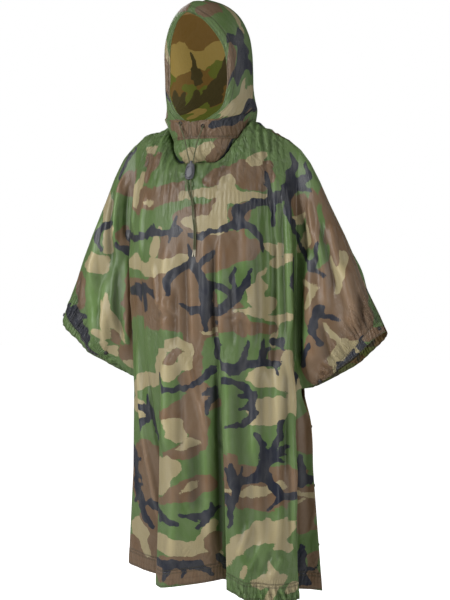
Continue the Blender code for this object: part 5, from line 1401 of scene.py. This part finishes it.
def lay_panel(name, face, patches, strokes, creases, node):
    middle = FLAP_COLUMNS + BODY_COLUMNS
    u, v, points, s, t = panel_grid(face)
    share = sizes().crease
    height = crease_height(creases + SMALL_CREASES, s, t) * share
    yoke = (1 - smooth((v - 0.25) / 0.6)) * smooth(v / 0.1) * smooth((0.95 - np.abs(u)) / 0.3)
    tucks = np.sin(2 * math.pi * 11 * u + 3.2 * wander(u * 7, v * 3.5, 6) + 1.5 * v)
    height += YOKE_TUCKS * share * yoke * tucks * (0.6 + 0.7 * wander(u * 6, v * 5, 8))
    beside = 0.4 + 0.6 * smooth((np.abs(u) - 0.15) / 0.3)
    height += YOKE_RIDGES * share * yoke * beside * (
        0.5 - np.abs(wander(s / 0.034 + t / 0.05, t / 0.040, 11)))
    height += YOKE_WRINKLES * share * yoke * (
        0.5 - np.abs(wander(s / 0.016 - t / 0.03, t / 0.018 + s / 0.05, 15)))
    height += CHEST_WAVES * share * wander(s / 0.03, t / 0.04, 9) * smooth((0.62 - t) / 0.5)
    ruffle = smooth((np.abs(u) - 1.70) / 0.22)
    frill = np.sin(2 * math.pi * 8.5 * v + 3.0 * wander(v * 6, u * 9, 4))
    height += CUFF_FRILL * share * ruffle * frill * (0.5 + 0.9 * wander(v * 5, u * 4, 14))
    edge = (smooth((t - t[0] + 0.002) / 0.02) * smooth((t[-1] - t) / 0.02)
            * smooth((2 - CUFF_SHARE - np.abs(u)) / 0.04))
    shaped = points + outward_normals(points, face) * (height * edge)[..., None]
    chest = 0.4 * np.exp(-((t - 0.19) / 0.035) ** 2) * smooth((0.22 - np.abs(s - 0.1)) / 0.08)
    drawn = np.maximum(np.maximum(yoke * 0.22, chest), 0.8 * ruffle) + 0.5 * smooth((t - 1.05) / 0.04)
    phase = np.where(np.abs(u) > 1.4, 34 * v + 2 * wander(u * 12, v * 7, 3),
                     mix(30 * u, s / 0.0062, smooth((v - 0.8) / 0.3)))
    waist = (np.exp(-((s + 0.10) / 0.06) ** 2 - ((t - 0.50) / 0.07) ** 2)
             + np.exp(-((s - 0.04) / 0.07) ** 2 - ((t - 0.56) / 0.03) ** 2))
    rough = smooth((np.abs(u + 0.04) - 0.16) / 0.4) * smooth((0.75 - v) / 0.5)
    crumple = yoke * (0.25 + 1.2 * rough) + 0.5 * waist + 0.7 * ruffle + 0.4 * smooth((t - 0.98) / 0.08)
    crumple = 0.12 + 1.2 * np.clip(crumple, 0, 1)
    values = {
        "print": print_fields(s, t, patches, strokes),
        "sewing": sewing((t - t[0] - 0.006, s), (t[-1] - t - 0.003, s)),
        # relief: the crease height, lowered over the yoke, which paints highlight on ridges, shade in troughs
        # and an overall painted shade on the yoke.
        **folded(phase, drawn, crumple, np.clip(height / 0.007 - 0.5 * yoke, -1, 1)),
    }
    sheet = lay_sheet(
        name, shaped, face, s, t, values, [outer_cloth(), inner_cloth()], sizes().wall,
        lambda i, j: j < YOKE_ROWS + ARM_ROWS or abs(i - middle) < BODY_COLUMNS + SIDE_COLUMNS)
    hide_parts(node)


class PONCHO_OT_panels(bpy.types.Operator):
    """Lay the front and back panels with their arm flaps"""

    bl_idname = "poncho.panels"
    bl_label = "Panels"

    def execute(self, context):
        lay_panel("front_cloth", -1, FRONT_PATCHES, FRONT_STROKES, FRONT_CREASES, "front_panel")
        lay_panel("back_cloth", 1, *BACK_PRINT, BACK_CREASES, "back_panel")
        return {"FINISHED"}


class PONCHO_OT_hems(bpy.types.Operator):
    """Lay the gathered bottom hems"""

    bl_idname = "poncho.hems"
    bl_label = "Hems"

    def execute(self, context):
        for face, name, patches, strokes in ((-1, "front", FRONT_PATCHES, FRONT_STROKES),
                                             (1, "back", *BACK_PRINT)):
            columns, rows = HEM_GRID
            u = (np.arange(columns + 1) / columns * 2 - 1)[None, :] * (1 + SIDE_SHARE)
            fall = (np.arange(rows + 1) / rows * 1.08 - 0.08)[:, None]
            points = panel_point(face, u, 3.0001 + np.maximum(fall, 0) * 0.9999)
            points[..., 2] -= np.minimum(fall, 0) * HEM_HEIGHT
            above_u, _, _, above_s, above_t = panel_grid(face)
            s = np.interp(u, above_u[0], above_s[-1]) + 0 * fall
            t = np.interp(u, above_u[0], above_t[-1]) + fall * HEM_HEIGHT
            near = 1 - smooth((np.abs(u - HEM_GATHER_CENTRE[face]) - 0.22) / 0.14)
            height = HEM_WAVE * mix(0.15, 1, near) * smooth((1.02 - np.abs(u)) / 0.1)
            lean = u - 0.030 * fall + 0.010 * wander(u * 20, fall * 2, 9)
            wave = np.sin(2 * math.pi * 19 * lean + 2.6 * wander(u * 9, 0 * u, 2))
            wave = wave * (0.65 + 0.5 * wander(u * 14, fall, 5))
            _, outward = section_point(face, np.clip(u, -1, 1) + 0 * fall, points[..., 2])
            proud = height * wave * smooth(fall * 1.6) - 0.0016 * smooth(-fall / 0.05)
            shaped = points + outward * proud[..., None]
            values = {
                "print": print_fields(s, t, patches, strokes),
                "sewing": sewing((fall * HEM_HEIGHT - 0.004 + 0 * t, s),
                                 ((fall - 1) * HEM_HEIGHT + 0.004 + 0 * t, s)),
                # The hem's waves go into relief too, which paints their crests lighter and their troughs
                # darker.
                **folded(s / 0.008 + 0.3 * t / 0.02, 0.3 + 0.9 * near + 0 * t, 0.2 + 0.5 * near,
                         height * wave / 0.006),
            }
            sheet = lay_sheet(name + "_hem_band", shaped, face, s, t, values,
                              [outer_cloth(), inner_cloth()], sizes().hem_wall)
            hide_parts(name + "_hem")
        return {"FINISHED"}


class PONCHO_OT_cuffs(bpy.types.Operator):
    """Lay the gathered cuff bands"""

    bl_idname = "poncho.cuffs"
    bl_label = "Cuffs"

    def execute(self, context):
        columns, rows = CUFF_GRID
        along = (np.arange(columns + 1) / columns)[None, :]
        out = (np.arange(rows + 1) / rows * 1.14 - 0.14)[:, None]
        v = CUFF_START + CUFF_LENGTH * along
        for face, side, name in ((-1, 1, "cuff_front_left"), (-1, -1, "cuff_front_right"),
                                 (1, 1, "cuff_back_left"), (1, -1, "cuff_back_right")):
            start = flap_point(face, side * (2 - CUFF_SHARE) + 0 * v, v)
            end = flap_point(face, side * 2 + 0 * v, v)
            lift = unit(end - start) * STRIP_GAP * np.clip(1 - out, 0, 1)[..., None]
            points = start + (end - start) * out[..., None] + lift
            points[..., 1] -= face * 0.0014 * smooth(-out / 0.10)
            wave = np.sin(2 * math.pi * 13 * along + 1.5 * wander(along * 9, 0 * along, side + 3))
            envelope = 1
            for snap in (*((place - CUFF_START) / CUFF_LENGTH for _, place in CUFF_SNAPS[side]), 1):
                envelope = np.minimum(envelope, smooth((np.abs(along - snap) - 0.04) / 0.06))
            points[..., 1] += face * CUFF_WAVE * (wave + 1) / 2 * np.maximum(out, 0) * envelope
            s, t = lengths(points, 0, 0, 0.0)
            patches, strokes = (FRONT_PATCHES, FRONT_STROKES) if face < 0 else BACK_PRINT
            values = {
                "print": print_fields(side * (0.083 + np.abs(points[..., 0])), 0.05 - points[..., 2],
                                      patches, strokes),
                "sewing": sewing((t - 0.0050, s), (t[-1:] - t - 0.002, s)),
                **folded(s / 0.0085, 0.9 + 0 * t),
            }
            sheet = lay_sheet(name + "_band", points, -face * side, s, t, values,
                              [outer_cloth(), inner_cloth()], sizes().wall)
            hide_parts(name)
        return {"FINISHED"}


class PONCHO_OT_hood(bpy.types.Operator):
    """Lay both halves of the hood"""

    bl_idname = "poncho.hood"
    bl_label = "Hood"

    def execute(self, context):
        for side, name in ((1, "left"), (-1, "right")):
            across, down = (np.linspace(0, 1, count) for count in HOOD_GRID)
            points = net_surface(hood_net(side), across, down)
            s, t = lengths(points, 0, 0, 0.0)
            patches, strokes = HOOD_PATCHES[side], HOOD_STROKES[side]
            closed = np.maximum(smooth((across - 0.975) / 0.025)[None, :] + 0 * s,
                                smooth((down - 0.985) / 0.015)[:, None])
            points = points - outward_normals(points, side) * (0.0016 * closed)[..., None]
            points[..., 0] -= side * 0.0009 * closed
            points[0] = points[0] * (0.985, 0.985, 1) - (0, 0, 0.004)
            low = (1 - smooth((t - 0.03) / 0.07)) * smooth(s / 0.02)
            values = {
                "print": print_fields(s, t, patches, strokes),
                "sewing": sewing((s[:, -1:] - s - 0.005, t), (s - 0.004, t), (s - 0.022, t), (t - 0.004, s)),
                **folded(s / 0.012 + t / 0.05, 0.3 * low + 0.06,
                         0.15 + 1.2 * low + 0.5 * smooth((0.03 - s) / 0.02)),
            }
            sheet = lay_sheet("hood_cloth_" + name, points, side, s, t, values,
                              [outer_cloth(), glowing_hood_inside()], sizes().wall)
            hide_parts("hood_" + name)
        return {"FINISHED"}


class PONCHO_OT_throat(bpy.types.Operator):
    """Lay the throat piece between the hood and the neck seam"""

    bl_idname = "poncho.throat"
    bl_label = "Throat"

    def execute(self, context):
        columns, rows = THROAT_GRID
        degrees = np.linspace(-THROAT_ANGLE, THROAT_ANGLE, columns)[None, :]
        t = np.linspace(-0.07, 1.07, rows)[:, None]
        drawn_in = 1 - 0.016 * smooth((np.abs(t - 0.5) - 0.48) / 0.05)
        points = throat_point(degrees, t) * stack(drawn_in, drawn_in, 1)
        across, down = lengths(points, columns // 2, 0, 0.0)
        values = {
            "print": print_fields(across, down, THROAT_PATCHES, THROAT_STROKES),
            "sewing": sewing((down - 0.003, across), (down[-1:] - down - 0.003, across)),
            **folded((across + 0.6 * down) / 0.014, 0.3 + 0 * down, 1.2),
        }
        sheet = lay_sheet("throat_cloth", points, 1, across, down, values,
                          [outer_cloth(), inner_cloth()], sizes().wall)
        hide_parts("throat")
        return {"FINISHED"}


class PONCHO_OT_casing(bpy.types.Operator):
    """Lay the cord casing inside the face opening"""

    bl_idname = "poncho.casing"
    bl_label = "Casing"

    def execute(self, context):
        points = net_surface(casing_net(), *[np.linspace(0, 1, count) for count in CASING_GRID])
        s, t = lengths(points, CASING_GRID[0] // 2, 0, 0.0)
        patches, strokes = HOOD_PATCHES[1], HOOD_STROKES[1]
        values = {
            "print": print_fields(np.abs(s), t, patches, strokes),
            "sewing": sewing((t - 0.003, s), (t[-1:] - t - 0.003, s)),
            **folded(s / 0.008, 0.4 + 0 * t),
        }
        sheet = lay_sheet("casing_cloth", points, 1, s, t, values, [glowing_hood_inside()], sizes().wall)
        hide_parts("face_casing")
        return {"FINISHED"}


def seat_of(place, u, v, outside):
    """Which way a cloth form faces at one of its points."""
    at = place(u, v)
    facing = unit(np.cross(place(u + 0.004, v) - at, place(u, v + 0.004) - at))
    return Vector(facing if np.dot(facing, outside) > 0 else -facing)


def make_turned(name, node, profile, facing, material):
    """A small round fitting turned from (radius, height) pairs, at the middle of its node."""
    low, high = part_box(node)
    centre = (Vector(low) + Vector(high)) / 2
    bm = bmesh.new()
    rim = [bm.verts.new((radius, 0, height)) for radius, height in profile]
    edges = [bm.edges.new(pair) for pair in zip(rim, rim[1:])]
    bmesh.ops.spin(bm, geom=rim + edges, cent=(0, 0, 0), axis=(0, 0, 1), angle=2 * math.pi, steps=32)
    bmesh.ops.remove_doubles(bm, verts=bm.verts, dist=0.00001)
    bmesh.ops.recalc_face_normals(bm, faces=bm.faces)
    for face in bm.faces:
        face.smooth = True
    bm.transform(Matrix.Translation(centre) @ facing.to_track_quat("Z", "Y").to_matrix().to_4x4())
    mesh = bpy.data.meshes.new(name)
    bm.to_mesh(mesh)
    bm.free()
    obj = bpy.data.objects.new(name, mesh)
    mesh.materials.append(material)
    bpy.context.scene.collection.objects.link(obj)
    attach(obj, "root")
    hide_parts(node)


def fitting_material(name, tint, worn, roughness, metallic, scale):
    """Painted metal or moulded plastic, a little paler where it is worn."""
    material, tree, shader = new_material(name, roughness, metallic)
    wear = group_node(tree, "fine wear", scale=scale)
    mask = wear.outputs["Mask"]
    tree.links.new(colour_mix(tree, mask, (*tint, 1), (*worn, 1)), shader.inputs["Base Color"])
    rough = math_node(tree, "ADD", math_node(tree, "MULTIPLY", mask, 0.2), roughness)
    tree.links.new(rough, shader.inputs["Roughness"])
    bump(tree, shader, mask, 0.00006)
    return material


# Radius and height along each fitting's section, from its seat to its middle
STUD_PROFILE = [
    (0.0047, -0.0013), (0.0050, -0.0010), (0.0050, -0.0002), (0.0047, 0.0005), (0.0040, 0.0010),
    (0.0034, 0.0011), (0.0031, 0.0007), (0.0027, 0.0007), (0.0024, 0.0011), (0.0014, 0.0013), (0.0, 0.0013),
]
EYELET_PROFILE = [
    (0.0033, -0.0008), (0.0031, 0.0001), (0.0035, 0.0007), (0.0040, 0.0009), (0.0046, 0.0006),
    (0.0049, -0.0002), (0.0049, -0.0008), (0.0033, -0.0008),
]
RIM_HALF_WIDTH, RIM_HALF_HEIGHT, RIM_BOW, RIM_WIRE = 0.0098, 0.0136, 0.0006, 0.0009
RIM_Y, RIM_Z = -0.0046, -0.0026


class PONCHO_OT_fittings(bpy.types.Operator):
    """Fit the press studs, the eyelets and the cord lock's finish"""

    bl_idname = "poncho.fittings"
    bl_label = "Studs, eyelets and lock"

    def execute(self, context):
        tints = colours()
        metal = fitting_material("blackened brass", tints.stud, [0.16, 0.15, 0.13], 0.30, 0.75, 900.0)
        worn = [2.0 * channel for channel in tints.lock]
        plastic = fitting_material("lock plastic", tints.lock, worn, 0.42, 0.0, 500.0)
        cord = material_named("olive cord", cord_material)
        for side, label in ((1, "left"), (-1, "right")):
            for number, (u, v) in enumerate(CUFF_SNAPS[side], 1):
                facing = seat_of(partial(flap_point, -1), side * u, v, (0, -1, 0))
                tail = f"_{label}_{number}"
                make_turned("cuff_stud" + tail, "cuff_snap" + tail, STUD_PROFILE, facing, metal)
            for number, v in enumerate(SIDE_SNAPS, 1):
                u = side * (1 + SIDE_SHARE * SIDE_SNAP_OUT)
                facing = seat_of(partial(side_point, 1), u, v, (0, 1, 0))
                tail = f"_{label}_{number}"
                make_turned("side_stud" + tail, "side_snap" + tail, STUD_PROFILE, facing, metal)
            facing = seat_of(partial(hood_point, side), *EYELETS[side], (0, -1, 0))
            make_turned("hood_eyelet_" + label, "eyelet_" + label, EYELET_PROFILE, facing, metal)
        for name, material in (("cord_lock", plastic), ("knot", cord)):
            for slot in bpy.data.objects[name].material_slots:
                slot.material = material
        turn = Matrix.Translation(LOCK_CENTRE) @ Matrix.Rotation(LOCK_TILT, 4, "X")
        rim = [turn @ Vector((RIM_HALF_WIDTH * math.cos(a), RIM_Y + RIM_BOW * math.cos(2 * a),
                              RIM_Z + RIM_HALF_HEIGHT * math.sin(a))) for a in np.arange(40) * math.pi / 20]
        make_cord("lock_rim", rim, RIM_WIRE, plastic, closed=True)
        return {"FINISHED"}


# Each soft light's name, place, width and height, and the stage's value with its power
LIGHTS = [
    ("key light", (-2.0, -2.9, 0.8), (0.9, 2.4), "key"),
    ("fill light", (3.3, -1.9, 0.4), (1.1, 2.3), "fill"),
    ("left rim light", (-2.2, 1.9, 0.8), (0.7, 2.0), "rim"),
    ("right rim light", (2.2, 2.1, 1.0), (0.7, 2.0), "rim"),
    ("top light", (0.2, -0.9, 2.6), (1.2, 1.2), "top"),
]
LIGHT_AIM, FLOOR_REACH = Vector((0, 0, -0.45)), 12


class PONCHO_OT_stage(bpy.types.Operator):
    """Set the floor and the soft studio light"""

    bl_idname = "poncho.stage"
    bl_label = "Studio"

    def execute(self, context):
        scene, stage = context.scene, context.scene.poncho_stage
        low = CAD_BOX[0][2] - stage.drop
        bm = bmesh.new()
        bmesh.ops.create_grid(bm, x_segments=1, y_segments=1, size=FLOOR_REACH,
                              matrix=Matrix.Translation((0, 0, low)))
        mesh = bpy.data.meshes.new("studio_floor")
        bm.to_mesh(mesh)
        bm.free()
        floor = bpy.data.objects.new("studio_floor", mesh)
        scene.collection.objects.link(floor)
        material, tree, shader = new_material("studio floor", 0.9)
        shader.inputs["Base Color"].default_value = (*stage.floor, 1)
        shader.inputs["Emission Color"].default_value = (1, 1, 1, 1)
        seen = add_node(tree, "LightPath").outputs["Is Camera Ray"]
        tree.links.new(ramp(tree, seen, 0.0, 1.0, stage.glow), shader.inputs["Emission Strength"])
        mesh.materials.append(material)
        world = bpy.data.worlds.new("studio")
        scene.world = world
        world.use_nodes = True
        tree = world.node_tree
        background = tree.nodes["Background"]
        background.inputs["Color"].default_value = (1, 1, 1, 1)
        seen = add_node(tree, "LightPath").outputs["Is Camera Ray"]
        tree.links.new(ramp(tree, seen, 0.0, 1.0, stage.sky), background.inputs["Strength"])
        for name, place, size, power in LIGHTS:
            data = bpy.data.lights.new(name, "AREA")
            data.shape, data.size, data.size_y, data.energy = "RECTANGLE", *size, getattr(stage, power)
            lamp = bpy.data.objects.new(name, data)
            lamp.location = place
            lamp.rotation_euler = (LIGHT_AIM - Vector(place)).to_track_quat("-Z", "Y").to_euler()
            scene.collection.objects.link(lamp)
        scene.view_settings.view_transform = "Standard"
        return {"FINISHED"}


class PONCHO_PT_panel(bpy.types.Panel):
    """Sizes and colours of the poncho, and a button for each of its pieces"""

    bl_idname = "PONCHO_PT_panel"
    bl_label = "Rain Poncho"
    bl_space_type = "VIEW_3D"
    bl_region_type = "UI"
    bl_category = "Poncho"

    def draw(self, context):
        for group in (context.scene.poncho_sizes, context.scene.poncho_colours, context.scene.poncho_stage):
            box = self.layout.box()
            for key in group.bl_rna.properties.keys():
                if key not in ("rna_type", "name"):
                    box.prop(group, key)
        for operator in OPERATORS:
            self.layout.operator(operator.bl_idname)


GROUPS = {"poncho_sizes": PonchoSizes, "poncho_colours": PonchoColours, "poncho_stage": StageSizes}
OPERATORS = (PONCHO_OT_camera, PONCHO_OT_cords, PONCHO_OT_panels, PONCHO_OT_hems, PONCHO_OT_cuffs,
             PONCHO_OT_hood, PONCHO_OT_throat, PONCHO_OT_casing, PONCHO_OT_fittings, PONCHO_OT_stage)


def register():
    for kind in (*GROUPS.values(), *OPERATORS, PONCHO_PT_panel):
        bpy.utils.register_class(kind)
    for name, kind in GROUPS.items():
        setattr(bpy.types.Scene, name, bpy.props.PointerProperty(type=kind))


def unregister():
    for name in GROUPS:
        delattr(bpy.types.Scene, name)
    for kind in reversed((*GROUPS.values(), *OPERATORS, PONCHO_PT_panel)):
        bpy.utils.unregister_class(kind)


def main():
    register()
    for make in (print_group, weave_group, stitch_group, gather_group, crinkle_group, speckle_group):
        make()
    for operator in OPERATORS:
        getattr(bpy.ops.poncho, operator.bl_idname.split(".")[1])()


if __name__ == "__main__":
    main()
